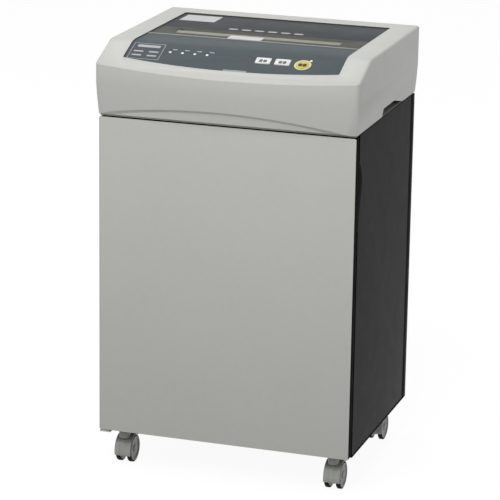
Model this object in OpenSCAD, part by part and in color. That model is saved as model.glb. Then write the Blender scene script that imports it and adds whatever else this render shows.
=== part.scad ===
// Office paper shredder on casters: a cabinet with a hinged door and a waste bin,
// and a lift-off head that holds the cutting block, its gear train and the motor.
// Millimetres. +Z is up, the door faces -Y. The origin is on the floor, in the middle.

/* [Cabinet] */
// Width across the side panels
cab_w = 470; // [460:1:520]
// Depth from the door's front face to the rear face
cab_d = 380; // [376:1:420]
// Height from the underside to the top of the side panels
cab_h = 584; // [560:1:640]
// Thickness of the side panels, the base and the front rail
board_t = 16; // [14:0.5:18]
// Thickness of the back panel
back_t = 12; // [8:0.5:13]
// Height of the front rail under the head
rail_h = 60; // [50:1:70]
// Height of the casters under the cabinet
caster_h = 70; // [68:1:76]

/* [Door] */
// Thickness of the door
door_t = 16; // [14:0.5:17]
// Gap between the door and the side panels behind it
door_gap = 4; // [3.8:0.1:5]
// Gap above and below the door
door_end_gap = 2; // [1.8:0.1:3]
// Radius of the door's pivot pins
pivot_r = 4; // [3:0.1:4.5]
// Length of each pivot pin inside the door
pivot_len = 14; // [10:1:20]
// Height of the finger scoop in the right side panel
scoop_h = 142; // [110:1:160]
// Height of the scoop's lower end above the underside
scoop_z = 396; // [360:1:400]
// Depth of the finger scoop
scoop_d = 18; // [14:1:22]

/* [Waste bin] */
// Gap between the bin and each side panel
bin_side_gap = 19; // [15:1:28]
// Distance of the bin behind the door's front face
bin_front = 58; // [54:1:80]
// Height of the bin
bin_h = 470; // [420:1:485]
// Wall thickness of the bin
bin_wall = 2.5; // [2:0.1:3.5]
// Gap between the bin and the back panel
bin_back_gap = 10; // [6:1:12]
// Width of the hand hole in the bin's front
bin_grip_w = 120; // [90:1:150]
// Height of the hand hole in the bin's front
bin_grip_h = 32; // [25:1:40]

/* [Head] */
// Height of the head cover
head_h = 122; // [120:1:130]
// How far each side of the head swells past the cabinet
head_flare = 5; // [3:0.5:7]
// How far the middle of the head's front stands before the door
head_bulge = 28; // [24:1:32]
// How far the head's front bows between the corners and the middle
head_bow = 19; // [15:1:22]
// How far the head stands past the rear face
head_over = 1; // [0.5:0.5:3]
// Height of the head's widest line above its lower edge
band_z = 57; // [50:1:62]
// Wall thickness of the head cover
head_wall = 3; // [2.5:0.1:3.5]
// Radius of the head's upright corners
corner_r = 12; // [8:1:16]
// Radius of the head's upper side edges
edge_r = 5; // [4:0.5:7]
// Distance of the knee behind the door's front face
knee_y = 66; // [62:1:72]
// Slope of the control field before the knee, in degrees
slope = 22.8; // [20:0.1:25]
// Radius of the knee
knee_r = 60; // [40:1:80]
// Rise of the lens-shaped facet over the door
facet_h = 25; // [20:1:28]
// Distance of the facet's ends from the cabinet's sides
facet_in = 2; // [2:1:20]
// Height of the grips in the head's lower side edges
grip_h = 14; // [12:0.5:16]
// Length of each grip's level top
grip_l = 74; // [66:1:80]
// Distance of the grips' front end behind the door's front face
grip_y = 158; // [150:1:165]
// Depth of each grip pocket
grip_d = 18; // [15:1:19]

/* [Control panel] */
// Width of the rim beside the recessed panel
rim_side = 39; // [35:1:44]
// Width of the rim behind the recessed panel
rim_back = 40; // [35:1:46]
// Bow of the panel's front edge
panel_bow = 15.5; // [10:0.5:18]
// Front edge of the panel in the middle, before the door's front face
panel_front = 0.5; // [0:0.5:3]
// Depth of the panel's surface below the rim
recess = 2; // [1.5:0.1:3]
// Thickness of the panel mouldings
panel_t = 2.5; // [2:0.1:3]
// Width of the ledge under the panel
ledge = 8; // [6:0.5:10]
// Radius of the panel's corners
panel_r = 3; // [2:0.5:8]
// Length of the throat moulding before the slot's middle
throat_front_l = 46; // [42:1:50]
// Length of the throat moulding behind the slot's middle
throat_rear_l = 26; // [22:1:30]
// Radius of the round start button
start_r = 14; // [12:0.5:15]
// Width of the two oblong buttons
key_w = 27; // [22:0.5:29]
// Length of the two oblong buttons along the slope
key_l = 17; // [14:0.5:19]
// Spacing of the two oblong buttons
key_pitch = 35; // [33:0.5:37]
// Distance of the start button from the panel's right edge
start_in = 71; // [62:0.5:76]
// Distance of the first lamp from the panel's left edge
lamp_in = 77.5; // [70:0.5:90]
// Travel of the buttons
key_travel = 1.2; // [1:0.1:1.2]
// Spacing of the four indicator lamps
lamp_pitch = 22.6; // [18:0.1:24]
// Radius of the indicator lamps
lamp_r = 2.4; // [1.6:0.1:2.6]

/* [Feed slot] */
// Distance of the slot's middle before the rear face
slot_back = 194; // [192:1:198]
// Distance of the slot's ends from the cabinet's sides
slot_in = 82.5; // [82:0.5:90]
// Opening of the slot
slot_gap = 9; // [7:0.5:10]
// Depth of the slot's guides below the head's top
slot_deep = 36; // [30:1:36]

/* [Cutting block] */
// Distance between the two cutter shafts
axle_gap = 56; // [56:0.1:57]
// Radius of the cutter discs at the tooth tips
disc_r = 29.5; // [29:0.1:30]
// Thickness of a cutter disc
disc_t = 5.7; // [5:0.1:5.7]
// Spacing of the discs on one shaft
disc_pitch = 12; // [12:0.1:12.1]
// Hooked teeth on each disc
hook_count = 6; // [4:1:8]
// Radius of the shaft between the discs
core_r = 19; // [17:0.5:21]
// Radius of the shaft's journals
journal_r = 10; // [8:0.5:12]
// Thickness of the side frames
frame_t = 8; // [6:0.5:9]
// Height of the cutter shafts above the chassis plate
cut_h = 54; // [52:1:56]
// Thickness of the stripper fingers
finger_t = 5; // [4:0.1:5.2]

/* [Gear train] */
// Module of the cutter gears
cut_module = 2; // [1.8:0.1:2]
// Teeth of each synchronising gear
sync_teeth = 28; // [24:2:32]
// Teeth of the driven gear
drive_teeth = 48; // [40:2:48]
// Teeth of the intermediate pinion
pinion_teeth = 14; // [13:1:16]
// Module of the motor gears
motor_module = 1.5; // [1.4:0.1:1.5]
// Teeth of the intermediate wheel
wheel_teeth = 50; // [46:2:50]
// Teeth of the motor pinion
motor_teeth = 12; // [12:1:14]
// Width of the gears
gear_t = 10; // [8:0.5:11]
// Thinning of each gear's teeth for backlash
backlash = 0.2; // [0.15:0.01:0.3]
// Rise of the line from the driven gear to the intermediate wheel, in degrees
idler_rise = 14.5; // [12:0.5:16]
// Fall of the line from the intermediate wheel to the motor, in degrees
motor_fall = 30; // [28:1:31]

/* [Motor] */
// Radius of the motor
motor_r = 42; // [38:1:42]
// Length of the motor
motor_l = 190; // [150:1:200]
// Radius of the motor shaft
motor_shaft_r = 6; // [5:0.5:6]

/* [Casters] */
// Radius of the caster wheels
wheel_r = 25; // [22:0.5:25]
// Width of each caster wheel
wheel_w = 17; // [12:0.5:18]
// Trail of the wheels behind the stem
trail = 14; // [12:0.5:16]
// Radius of the caster stem
stem_r = 5; // [4:0.5:6]
// Distance of the casters from the cabinet's sides
caster_in = 37; // [36:1:50]
// Distance of the front casters behind the door's front face
caster_front = 34; // [34:1:45]
// Distance of the rear casters before the rear face
caster_rear = 70; // [55:1:80]

/* [Fits] */
// Radial clearance of shafts in their bores
run_clear = 0.05; // [0.02:0.01:0.1]
// Clearance between parts that move past each other
gap = 0.3; // [0.25:0.05:0.4]

/* [Hidden] */
$fn = 64;

// Colours
light_grey = [0.71, 0.71, 0.69];
charcoal = [0.24, 0.24, 0.24];
near_black = [0.10, 0.10, 0.10];
panel_blue = [0.38, 0.40, 0.41];
panel_grey = [0.36, 0.36, 0.37];
steel = [0.62, 0.63, 0.65];
dark_steel = [0.40, 0.41, 0.43];
caster_grey = [0.45, 0.47, 0.46];
board_green = [0.16, 0.36, 0.20];

// Main stations: Y is counted from the door's front face, Z from the cabinet's underside
half_w = cab_w / 2;
mid_y = (cab_d + head_over - head_bulge) / 2;
side_y = door_t + door_gap;
inner_w = half_w - board_t;
inner_back = cab_d - back_t;
chassis_t = 3;
head_z = cab_h + chassis_t;
top_z = head_z + head_h;
bin_w = 2 * (inner_w - bin_side_gap);
bin_d = inner_back - bin_back_gap - bin_front;
facet_w = half_w - facet_in;
panel_w = half_w - rim_side;
panel_back = cab_d + head_over - rim_back;
slot_y = cab_d - slot_back;
slot_w = cab_w - 2 * slot_in;
disc_count = 2 * floor(slot_w / disc_pitch / 2) + 1;
fascia_back = slot_y - throat_front_l;
throat_back = slot_y + throat_rear_l;
start_x = panel_w - start_in;

// Places a piece drawn from the door's front face and the cabinet's underside
module place() translate([0, -mid_y, caster_h]) children();

// Extrudes an outline of Y and Z over the width x0 to x1
module yz(x0, x1) translate([x0, 0, 0]) rotate([90, 0, 90]) linear_extrude(x1 - x0) children();

// Extrudes an outline of X and Z over the depth y0 to y1
module xz(y0, y1) translate([0, y1, 0]) rotate([90, 0, 0]) linear_extrude(y1 - y0) children();

// Block between two corners
module block(a, b) translate(a) cube(b - a);

// Round bar along X between x0 and x1 at height z and depth y
module bar_x(x0, x1, r, y, z) translate([x0, y, z]) rotate([0, 90, 0]) cylinder(h = x1 - x0, r = r);

// Rectangle with true round corners, centred
module round_rect(w, d, r) {
    square([w - 2 * r, d], center = true);
    square([w, d - 2 * r], center = true);
    for (x = [-1, 1], y = [-1, 1])
        translate([x * (w / 2 - r), y * (d / 2 - r)]) circle(r);
}

module mirror_copy(v = [1, 0, 0]) {
    children();
    mirror(v) children();
}

// ---------- Cabinet ----------
pivot_x = -half_w + door_t / 2;
pivot_y = door_t / 2;
door_z = door_end_gap;
door_top = cab_h - door_end_gap;
pin_bore = pivot_r + run_clear;
rail_z = cab_h - rail_h;
bracket_t = 2.5;
screw_r = 2;
screw_head_r = 4;
screw_l = 30;
screw_rows = 4;
screw_edge = 60;
screw_sink = 2;
back_screws = [for (s = [-1, 1], i = [0:screw_rows - 1])
    [s * (inner_w + board_t / 2), screw_edge + i * (cab_h - 2 * screw_edge) / (screw_rows - 1)]];
bracket_w = 20;
bracket_x = -half_w + 1;
bracket_l = 52;
bracket_screws = [for (y = [0, 14]) [bracket_x + bracket_w / 2, side_y + 8 + y]];
caster_places = [for (y = [caster_front, cab_d - caster_rear], s = [-1, 1])
    [s * (half_w - caster_in), y]];
boss_r = 9;
boss_l = 12;
chute_h = 84;
chute_wall = 2;
chute_in = 15;
plate_in = 2;
cut_open_x = slot_w / 2 + 1.5;
cut_open_y = 58;
catch_x = half_w - 85;
catch_w = 40;
catch_h = 16;
switch_x = half_w - 155;
switch_w = 30;
tab_t = 3;
tab_l = 16;
strike_t = 1.5;
door_corner = 4;
door_edge = 2.5;
guide_h = 20;
guide_t = 7;

// Bores for the screws that pass from the rear face into the cabinet
module back_screw_bores() {
    for (p = back_screws) translate([p[0], cab_d - screw_l, p[1]]) rotate([-90, 0, 0])
        cylinder(h = screw_l + 1, r = screw_r + run_clear);
}

module base_board() color(charcoal) place() difference() {
    block([-inner_w, side_y, 0], [inner_w, inner_back, board_t]);
    for (p = caster_places) translate([p[0], p[1], -1])
        cylinder(h = boss_l + 1.5, r = boss_r + run_clear);
}

// Outline of the finger scoop, deepest near its upper end
function scoop_points(n = 16) = [for (i = [0:n]) let (t = i / n)
    [side_y + scoop_d * sin(180 * pow(t, 2.2)), scoop_z + scoop_h * t]];

// Side panel with its outer face at the cabinet's side
module side_panel() difference() {
    block([inner_w, side_y, 0], [half_w, inner_back, cab_h]);
    back_screw_bores();
}

module side_panel_left() color(charcoal) place() difference() {
    mirror([1, 0, 0]) side_panel();
    bracket_bores();
}

module side_panel_right() color(charcoal) place() difference() {
    side_panel();
    yz(inner_w - 1, half_w + 1)
        polygon(concat([[side_y - 1, scoop_z]], scoop_points(), [[side_y - 1, scoop_z + scoop_h]]));
}

module back_panel() color(near_black) place() difference() {
    block([-half_w, inner_back, 0], [half_w, cab_d, cab_h]);
    back_screw_bores();
    for (p = back_screws) translate([p[0], cab_d - screw_sink, p[1]]) rotate([-90, 0, 0])
        cylinder(h = screw_sink + 1, r = screw_head_r + run_clear);
}

module front_rail() color(charcoal) place()
    block([-inner_w, side_y, rail_z], [inner_w, side_y + board_t, cab_h]);

// Bores for the lower pivot bracket's screws
module bracket_bores() {
    for (p = bracket_screws) translate([p[0], p[1], -bracket_t - 1])
        cylinder(h = 18, r = screw_r + run_clear);
}

module cabinet_screws() color(steel) place() {
    for (p = back_screws) translate([p[0], 0, p[1]]) rotate([-90, 0, 0]) {
        translate([0, 0, cab_d - screw_sink]) cylinder(h = screw_sink - 0.4, r = screw_head_r);
        translate([0, 0, cab_d - screw_l + 1]) cylinder(h = screw_l - 2, r = screw_r);
    }
    for (p = bracket_screws) translate([p[0], p[1], -bracket_t]) {
        translate([0, 0, -1.5]) cylinder(h = 1.5, r = screw_head_r);
        cylinder(h = 15, r = screw_r);
    }
}

module chassis_plate() color(dark_steel) place() difference() {
    block([-half_w + plate_in, plate_in, cab_h], [half_w - plate_in, cab_d - plate_in, head_z]);
    block([-cut_open_x, slot_y - cut_open_y, cab_h - 1],
        [cut_open_x, slot_y + cut_open_y, head_z + 1]);
    translate([pivot_x, pivot_y, cab_h - 1]) cylinder(h = chassis_t + 2, r = pin_bore);
    head_screw_bores();
}

// Outline of the chute, narrowing downwards
function chute_points(wall) = [
    [slot_y - cut_open_y - chute_wall + wall, cab_h + wall],
    [slot_y - cut_open_y - chute_wall + chute_in + wall, cab_h - chute_h - wall],
    [slot_y + cut_open_y + chute_wall - chute_in - wall, cab_h - chute_h - wall],
    [slot_y + cut_open_y + chute_wall - wall, cab_h + wall]];

module debris_chute() color(near_black) place() difference() {
    yz(-cut_open_x - chute_wall, cut_open_x + chute_wall) polygon(chute_points(0));
    yz(-cut_open_x, cut_open_x) polygon(chute_points(chute_wall));
}

module bin_guides() color(charcoal) place() mirror_copy()
    block([bin_w / 2 + gap, side_y + 20, board_t],
        [bin_w / 2 + gap + guide_t, inner_back - 8, board_t + guide_h]);

module lower_pivot_bracket() color(steel) place() difference() {
    union() {
        block([bracket_x, 1, -bracket_t], [bracket_x + bracket_w, bracket_l, 0]);
        translate([pivot_x, pivot_y, -bracket_t])
            cylinder(h = bracket_t + door_z + pivot_len, r = pivot_r);
        translate([pivot_x, pivot_y, -bracket_t]) cylinder(h = bracket_t + door_z - gap, r = 7);
    }
    bracket_bores();
}

module upper_pivot_pin() color(steel) place()
    translate([pivot_x, pivot_y, door_top - pivot_len])
        cylinder(h = head_z - door_top + pivot_len, r = pivot_r);

module magnet_catch() color(near_black) place()
    block([catch_x, door_t + strike_t + gap, rail_z - catch_h],
        [catch_x + catch_w, side_y + board_t, rail_z]);

module door_switch() color(near_black) place() difference() {
    block([switch_x, side_y + 2, rail_z - 20], [switch_x + switch_w, side_y + 24, rail_z]);
    block([switch_x + switch_w / 2 - tab_t, side_y + 1, rail_z - 21],
        [switch_x + switch_w / 2 + tab_t, side_y + 15, rail_z - 4]);
}

// ---------- Door and bin ----------
module door_panel() color(light_grey) place() difference() {
    intersection() {
        translate([0, 0, (door_z + door_top) / 2]) xz(0, door_t)
            round_rect(cab_w, door_top - door_z, door_corner);
        translate([0, door_t / 2, 0]) linear_extrude(cab_h) round_rect(cab_w, door_t, door_edge);
    }
    for (z = [door_z - 1, door_top - pivot_len - gap]) translate([pivot_x, pivot_y, z])
        cylinder(h = pivot_len + gap + 1, r = pin_bore);
}

module door_fittings() color(steel) place() {
    block([catch_x + 2, door_t, rail_z - catch_h + 1],
        [catch_x + catch_w - 2, door_t + strike_t, rail_z - 1]);
    block([switch_x + switch_w / 2 - tab_t / 2, door_t, rail_z - 16],
        [switch_x + switch_w / 2 + tab_t / 2, door_t + tab_l, rail_z - 6]);
    block([switch_x + switch_w / 2 - 12, door_t, rail_z - 16],
        [switch_x + switch_w / 2 + 12, door_t + strike_t, rail_z - 6]);
}

bin_z = board_t + gap;
bin_y = inner_back - bin_back_gap - bin_d / 2;
bin_corner = 18;
bin_band = 1;
bin_rim_h = 12;
bin_grip_drop = 40;

// Outline of the bin in plan, grown by d
module bin_outline(d) round_rect(bin_w + 2 * d, bin_d + 2 * d, bin_corner + bin_band + d);

module waste_bin() color(near_black) place() translate([0, bin_y, bin_z]) difference() {
    union() {
        linear_extrude(bin_h) bin_outline(-bin_band);
        translate([0, 0, bin_h - bin_rim_h]) linear_extrude(bin_rim_h) bin_outline(0);
        linear_extrude(guide_h) bin_outline(0);
    }
    translate([0, 0, bin_wall]) linear_extrude(bin_h) bin_outline(-bin_band - bin_wall);
    translate([0, 0, bin_h - bin_grip_drop]) xz(-bin_d / 2 - 1, 0)
        round_rect(bin_grip_w, bin_grip_h, 12);
}

// ---------- Head cover ----------
arc_steps = 6;
knee_mid = knee_y + knee_r * tan(slope / 2);
lean = atan((head_bulge - head_bow) / band_z);
front_y = -head_bulge - 20;
panel_gap = 0.3;
rear_r = 4;
lens_x = -12;
lens_lean = 0.7;
boss_in = 30;
boss_x = half_w - boss_in;
cover_boss_r = 5;
cover_boss_h = 18;
boss_rib_t = 3;
head_bosses = [for (s = [-1, 1], y = [60, cab_d - 17]) [s * boss_x, y]];
cover_screw_r = 1.5;
vent_count = 14;
vent_pitch = 9;
vent_w = 4;
vent_h = 46;
vent_x = 70;
vent_z = head_z + 60;
gland_x = 60 - half_w;
gland_z = head_z + 40;
gland_pocket = 15;
gland_recess = 5;
gland_r = 4;
gland_body_r = 8;
gland_flange_r = 12;
gland_flange_t = 3;
gland_l = 15;

// Height of the head's top surface at depth y, lowered by d along its normal
function skin_z(y, d) = let (r = knee_r - d)
    y >= knee_mid ? top_z - d :
    y >= knee_mid - r * sin(slope) ? top_z - knee_r + sqrt(r * r - pow(y - knee_mid, 2)) :
    top_z - knee_r + r * cos(slope) + (y - knee_mid + r * sin(slope)) * tan(slope);

// Points of the top surface between two depths, lowered by d
function skin(y0, y1, d) = let (r = knee_r - d)
    [for (y = concat([y0], [for (i = [0:arc_steps]) knee_mid - r * sin(slope * (1 - i / arc_steps))],
        [y1])) if (y >= y0 && y <= y1) [y, skin_z(y, d)]];

function reversed(list) = [for (i = [len(list) - 1:-1:0]) list[i]];

// Outline of the band between two depths under the top surface
function band(y0, y1, d0, d1) = concat(skin(y0, y1, d0), reversed(skin(y0, y1, d1)));

// Arc of points round a centre
function arc(c, r, a0, a1, n) = [for (i = [0:n]) let (a = a0 + (a1 - a0) * i / n)
    c + r * [cos(a), sin(a)]];

// Outline in plan with a bowed front edge: half width w, corners rf and rb
function bowed_plan(w, y_back, y_mid, bow, rf, rb, n = 16) =
    let (r = (w * w + bow * bow) / (2 * bow), yc = y_mid + r, fx = w - rf,
        fy = yc - sqrt(pow(r - rf, 2) - fx * fx), t = atan2(fx, yc - fy))
    concat(arc([0, yc], r, 270 - t, 270 + t, n), arc([fx, fy], rf, t - 90, 0, 5),
        arc([w - rb, y_back - rb], rb, 0, 90, 5), arc([rb - w, y_back - rb], rb, 90, 180, 5),
        arc([-fx, fy], rf, 180, 270 - t, 5));

// Crown of the head: half width w up to the height top, with upper corners of radius r
function crown(w, top, r) = concat(arc([w - r, top - r], r, 0, 90, 5),
    arc([r - w, top - r], r, 90, 180, 5));

// Front view of the head, reduced by d, with its upper corners rounded to r
function front_view(d, r) = let (w = half_w + head_flare - d)
    concat([[half_w - d, head_z - 20], [half_w - d, head_z], [w, head_z + band_z]],
        crown(w, top_z, r),
        [[-w, head_z + band_z], [d - half_w, head_z], [d - half_w, head_z - 20]]);

// Closed form of the head, reduced by d on every side
module head_form(d, r) {
    w = half_w + head_flare - d;
    outline = bowed_plan(w, cab_d + head_over - d, d - head_bulge, head_bow, corner_r - d, rear_r);
    deep = bowed_plan(w, cab_d + head_over + 80, d - head_bulge, head_bow, corner_r - d, rear_r);
    z0 = d > 0 ? head_z - 10 : head_z;
    intersection() {
        yz(-cab_w, cab_w) polygon(concat(skin(front_y, cab_d + 20, d),
            [[cab_d + 20, z0], [front_y, z0]]));
        xz(front_y, cab_d + 20) polygon(front_view(d, r));
        translate([0, 0, head_z - 30]) linear_extrude(head_h + 60) polygon(outline);
        translate([0, 0, head_z + band_z]) rotate([lean, 0, 0]) translate([0, 0, -2 * head_h])
            linear_extrude(4 * head_h) polygon(deep);
        translate([0, knee_y, top_z]) rotate([slope, 0, 0]) xz(-2 * head_h, 2 * cab_d)
            polygon(concat([[w, -cab_h]], crown(w, 0, r), [[-w, -cab_h]]));
    }
}

// Lens-shaped facet over the door, grown by d into the shell
module lens_cut(d) {
    r = (facet_w * facet_w + facet_h * facet_h) / (2 * facet_h);
    intersection() {
        translate([lens_x, 60, head_z + facet_h - r]) rotate([90, 0, 0])
            cylinder(h = 200, r = r + d, $fn = 200);
        yz(-cab_w, cab_w) polygon([[front_y, head_z - 15], [d, head_z - 15], [d, head_z],
            [d - lens_lean * 40, head_z + 40], [front_y, head_z + 40]]);
    }
}

// Outline of the recessed panel in plan, grown by d
function panel_plan(d) = let (r = max(panel_r + d, 1))
    bowed_plan(panel_w + d, panel_back + d, -panel_front - d, panel_bow, r, r);

// Slab of the panel between two depths, from y0 to y1
module panel_slab(y0, y1, d0, d1, grow) intersection() {
    translate([0, 0, top_z - 100]) linear_extrude(140) polygon(panel_plan(grow));
    yz(-cab_w, cab_w) polygon(band(y0, y1, d0, d1));
}

// Outline of a side grip, grown by d
function grip_points(d) = [[grip_y - d, head_z - 20], [grip_y - d, head_z],
    [grip_y + 4 - d, head_z + grip_h + d], [grip_y + grip_l, head_z + grip_h + d],
    [grip_y + grip_l + 71 + d, head_z - 2], [grip_y + grip_l + 71 + d, head_z - 20]];

module head_screw_bores() for (p = head_bosses) translate([p[0], p[1], cab_h - 1])
    cylinder(h = 17, r = cover_screw_r + run_clear);

// Hollow of the head cover with its bosses, grips and recesses left standing
module head_hollow() difference() {
    head_form(head_wall, 1);
    lens_cut(head_wall);
    panel_slab(front_y, cab_d, -20, recess + panel_t + head_wall, head_wall);
    mirror_copy() yz(half_w - grip_d - head_wall, cab_w) polygon(grip_points(head_wall));
    for (p = head_bosses) translate([p[0], p[1], head_z]) {
        cylinder(h = cover_boss_h, r = cover_boss_r);
        translate([p[0] > 0 ? 0 : -boss_in, -boss_rib_t / 2, 0]) cube([boss_in, boss_rib_t, cover_boss_h]);
    }
    block([gland_x - gland_pocket - head_wall, cab_d - gland_recess - head_wall,
        gland_z - gland_pocket - head_wall],
        [gland_x + gland_pocket + head_wall, cab_d + 20, gland_z + gland_pocket + head_wall]);
}

module head_cover() color(light_grey) place() difference() {
    head_form(0, edge_r);
    head_hollow();
    lens_cut(0);
    panel_slab(front_y, cab_d, -20, recess + panel_t, 0);
    panel_slab(front_y, cab_d, -20, 40, -ledge);
    mirror_copy() yz(half_w - grip_d, cab_w) polygon(grip_points(0));
    for (i = [0:vent_count - 1])
        translate([vent_x + (i - (vent_count - 1) / 2) * vent_pitch, 0, vent_z])
            xz(cab_d - 10, cab_d + 10) round_rect(vent_w, vent_h, 1.9);
    head_screw_bores();
    block([gland_x - gland_pocket, cab_d + head_over - gland_recess, gland_z - gland_pocket],
        [gland_x + gland_pocket, cab_d + 20, gland_z + gland_pocket]);
    translate([gland_x, cab_d - 20, gland_z]) rotate([-90, 0, 0])
        cylinder(h = 40, r = gland_body_r + run_clear);
}

module head_screws() color(steel) place() for (p = head_bosses) translate([p[0], p[1], cab_h]) {
    translate([0, 0, -2]) cylinder(h = 2, r = 3.5);
    cylinder(h = 14, r = cover_screw_r);
}

module cord_gland() color(near_black) place()
    translate([gland_x, cab_d + head_over - gland_recess, gland_z]) rotate([-90, 0, 0]) difference() {
        union() {
            translate([0, 0, gland_flange_t - gland_l]) cylinder(h = gland_l - 1, r = gland_body_r);
            cylinder(h = gland_flange_t, r = gland_flange_r);
        }
        translate([0, 0, -gland_l]) cylinder(h = 2 * gland_l, r = gland_r);
    }

// ---------- Control panel ----------
start_y = 35;
key_y = 38;
lamp_y = 41.5;
start_lamp = [start_x + 11, 48.5];
lamps = concat([for (i = [0:3]) [lamp_in - panel_w + i * lamp_pitch, lamp_y]], [start_lamp]);
start_gap = 37;
keys = [start_x - start_gap, start_x - start_gap - key_pitch];
cap_r = start_r - 3;
under = recess + panel_t;
flange_t = 1.5;
flange_w = 1.5;
board_z = under + 10;
board_thick = 1.6;
switch_gap = key_travel + gap;
stem_l = 2;
key_stem_r = 2.5;
board_half = panel_w - 48;
board_d = 38;
post_r = 3;
posts = [for (x = [-1, 1], y = [-1, 1]) [x * (board_half - 4), y * (board_d / 2 - 5)]];

// Places a piece on the slope at x and depth y, with +Z along the slope's normal
module on_slope(x, y) translate([x, y, skin_z(y, 0)]) rotate([slope, 0, 0]) children();

module control_fascia() color(panel_blue) place() {
    difference() {
        panel_slab(front_y, fascia_back, recess, under, -panel_gap);
        on_slope(start_x, start_y) translate([0, 0, -20]) cylinder(h = 30, r = start_r + run_clear);
        for (x = keys) on_slope(x, key_y) translate([0, 0, -20]) linear_extrude(30)
            round_rect(key_w + 2 * gap, key_l + 2 * gap, 2);
        for (p = lamps) on_slope(p[0], p[1]) translate([0, 0, -20])
            cylinder(h = 30, r = lamp_r + run_clear);
    }
    for (p = posts) on_slope(p[0], key_y) translate([0, p[1], -board_z])
        cylinder(h = board_z - under + 0.5, r = post_r);
}

module indicator_lenses() color([0.95, 0.95, 0.92]) place() for (p = lamps) on_slope(p[0], p[1]) {
    translate([0, 0, -under - 1]) cylinder(h = 1, r = lamp_r + 1);
    translate([0, 0, -under - 1]) cylinder(h = under + 1 - recess + 0.4, r = lamp_r);
}

module start_bezel() color([0.90, 0.88, 0.78]) place() on_slope(start_x, start_y) difference() {
    union() {
        translate([0, 0, -recess]) cylinder(h = 0.8, r = start_r + 1);
        translate([0, 0, -under]) cylinder(h = panel_t, r = start_r);
    }
    translate([0, 0, -20]) cylinder(h = 30, r = cap_r + gap);
}

module start_button() color([0.90, 0.72, 0.22]) place() on_slope(start_x, start_y) {
    translate([0, 0, -under - gap]) cylinder(h = under + gap - 0.4, r = cap_r);
    translate([0, 0, -under - gap - flange_t]) cylinder(h = flange_t, r = cap_r + flange_w);
    translate([0, 0, -under - gap - flange_t - stem_l]) cylinder(h = stem_l, r = key_stem_r);
}

// Oblong push button at x
module key_button(x) on_slope(x, key_y) {
    translate([0, 0, -under - gap]) linear_extrude(under + gap - 0.5) round_rect(key_w, key_l, 1.5);
    translate([0, 0, -under - gap - flange_t]) linear_extrude(flange_t)
        round_rect(key_w + 2 * flange_w, key_l + 2 * flange_w, 1.5);
    translate([0, 0, -under - gap - flange_t - stem_l]) cylinder(h = stem_l, r = key_stem_r);
}

module stop_button() color([0.93, 0.93, 0.91]) place() key_button(keys[0]);

module reverse_button() color([0.93, 0.93, 0.91]) place() key_button(keys[1]);

module control_board() color(board_green) place() {
    tip = under + gap + flange_t + stem_l + switch_gap;
    on_slope(0, key_y) translate([-board_half, -board_d / 2, -board_z - board_thick])
        cube([2 * board_half, board_d, board_thick]);
    for (p = [[start_x, start_y], [keys[0], key_y], [keys[1], key_y]]) on_slope(p[0], p[1]) {
        translate([-3, -3, -board_z]) cube([6, 6, board_z - tip - 0.5]);
        translate([0, 0, -board_z]) cylinder(h = board_z - tip, r = 1.75);
    }
    for (p = lamps) on_slope(p[0], p[1]) translate([0, 0, -board_z])
        cylinder(h = board_z - under - 1 - gap, r = 1.5);
    on_slope(0, key_y) translate([-60, -12, -board_z]) cube([24, 14, 5]);
}

// ---------- Feed throat ----------
slot_front = slot_y - slot_gap / 2;
slot_rear = slot_y + slot_gap / 2;
lip_l = 18;
lip_rise = 1.2;
lip_round = 3;
rear_l = 14;
throat_wall = 2;
seam = 0.5;
bead_w = 3;
bead_h = 1;
slot_x = slot_w / 2;
// Air of the trough over the slot, and its walls
trough_air = [[slot_front - lip_l, top_z + 1], [slot_front - lip_l, top_z - recess - 1.5],
    [slot_front, top_z - recess - 6], [slot_front, top_z - 60], [slot_rear, top_z - 60],
    [slot_rear, top_z - recess - 6], [slot_rear + rear_l, top_z - recess - 3],
    [slot_rear + rear_l, top_z + 1]];
trough_walls = [[slot_front - lip_l - throat_wall, top_z - recess],
    [slot_front - lip_l - throat_wall, top_z - recess - 1.5 - throat_wall],
    [slot_front - throat_wall, top_z - recess - 6 - throat_wall],
    [slot_front - throat_wall, top_z - slot_deep], [slot_rear + throat_wall, top_z - slot_deep],
    [slot_rear + throat_wall, top_z - recess - 6 - throat_wall],
    [slot_rear + rear_l + throat_wall, top_z - recess - 3 - throat_wall],
    [slot_rear + rear_l + throat_wall, top_z - recess]];

module feed_throat() color(panel_grey) place() difference() {
    union() {
        panel_slab(fascia_back + seam, throat_back, recess, under, -panel_gap);
        panel_slab(fascia_back + seam, fascia_back + seam + bead_w, recess - bead_h, under, -panel_gap);
        yz(-slot_x - throat_wall, slot_x + throat_wall) polygon(trough_walls);
    }
    yz(-slot_x, slot_x) polygon(trough_air);
}

// Pale lip on the trough's floor; it rises a little towards the slot and rounds down into it
module feed_lip() color([0.62, 0.62, 0.58]) place() yz(-slot_x + gap, slot_x - gap)
    polygon(concat([[slot_front, top_z - recess - 6], [slot_front - lip_l, top_z - recess - 1.5],
        [slot_front - lip_l, top_z - recess + 0.2]],
        arc([slot_front - lip_round, top_z - recess + lip_rise - lip_round], lip_round, 90, 0, 4)));

module rear_cover() color(panel_grey) place()
    panel_slab(throat_back + seam, cab_d, recess, under, -panel_gap);

module paper_sensor() color(near_black) place() difference() {
    block([-8, slot_front - throat_wall - 12, top_z - slot_deep + 3],
        [8, slot_front - throat_wall, top_z - slot_deep + 17]);
    block([-9, slot_front - throat_wall - 13, top_z - slot_deep + 8],
        [-3, slot_front - throat_wall - 6, top_z - slot_deep + 18]);
}

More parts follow.
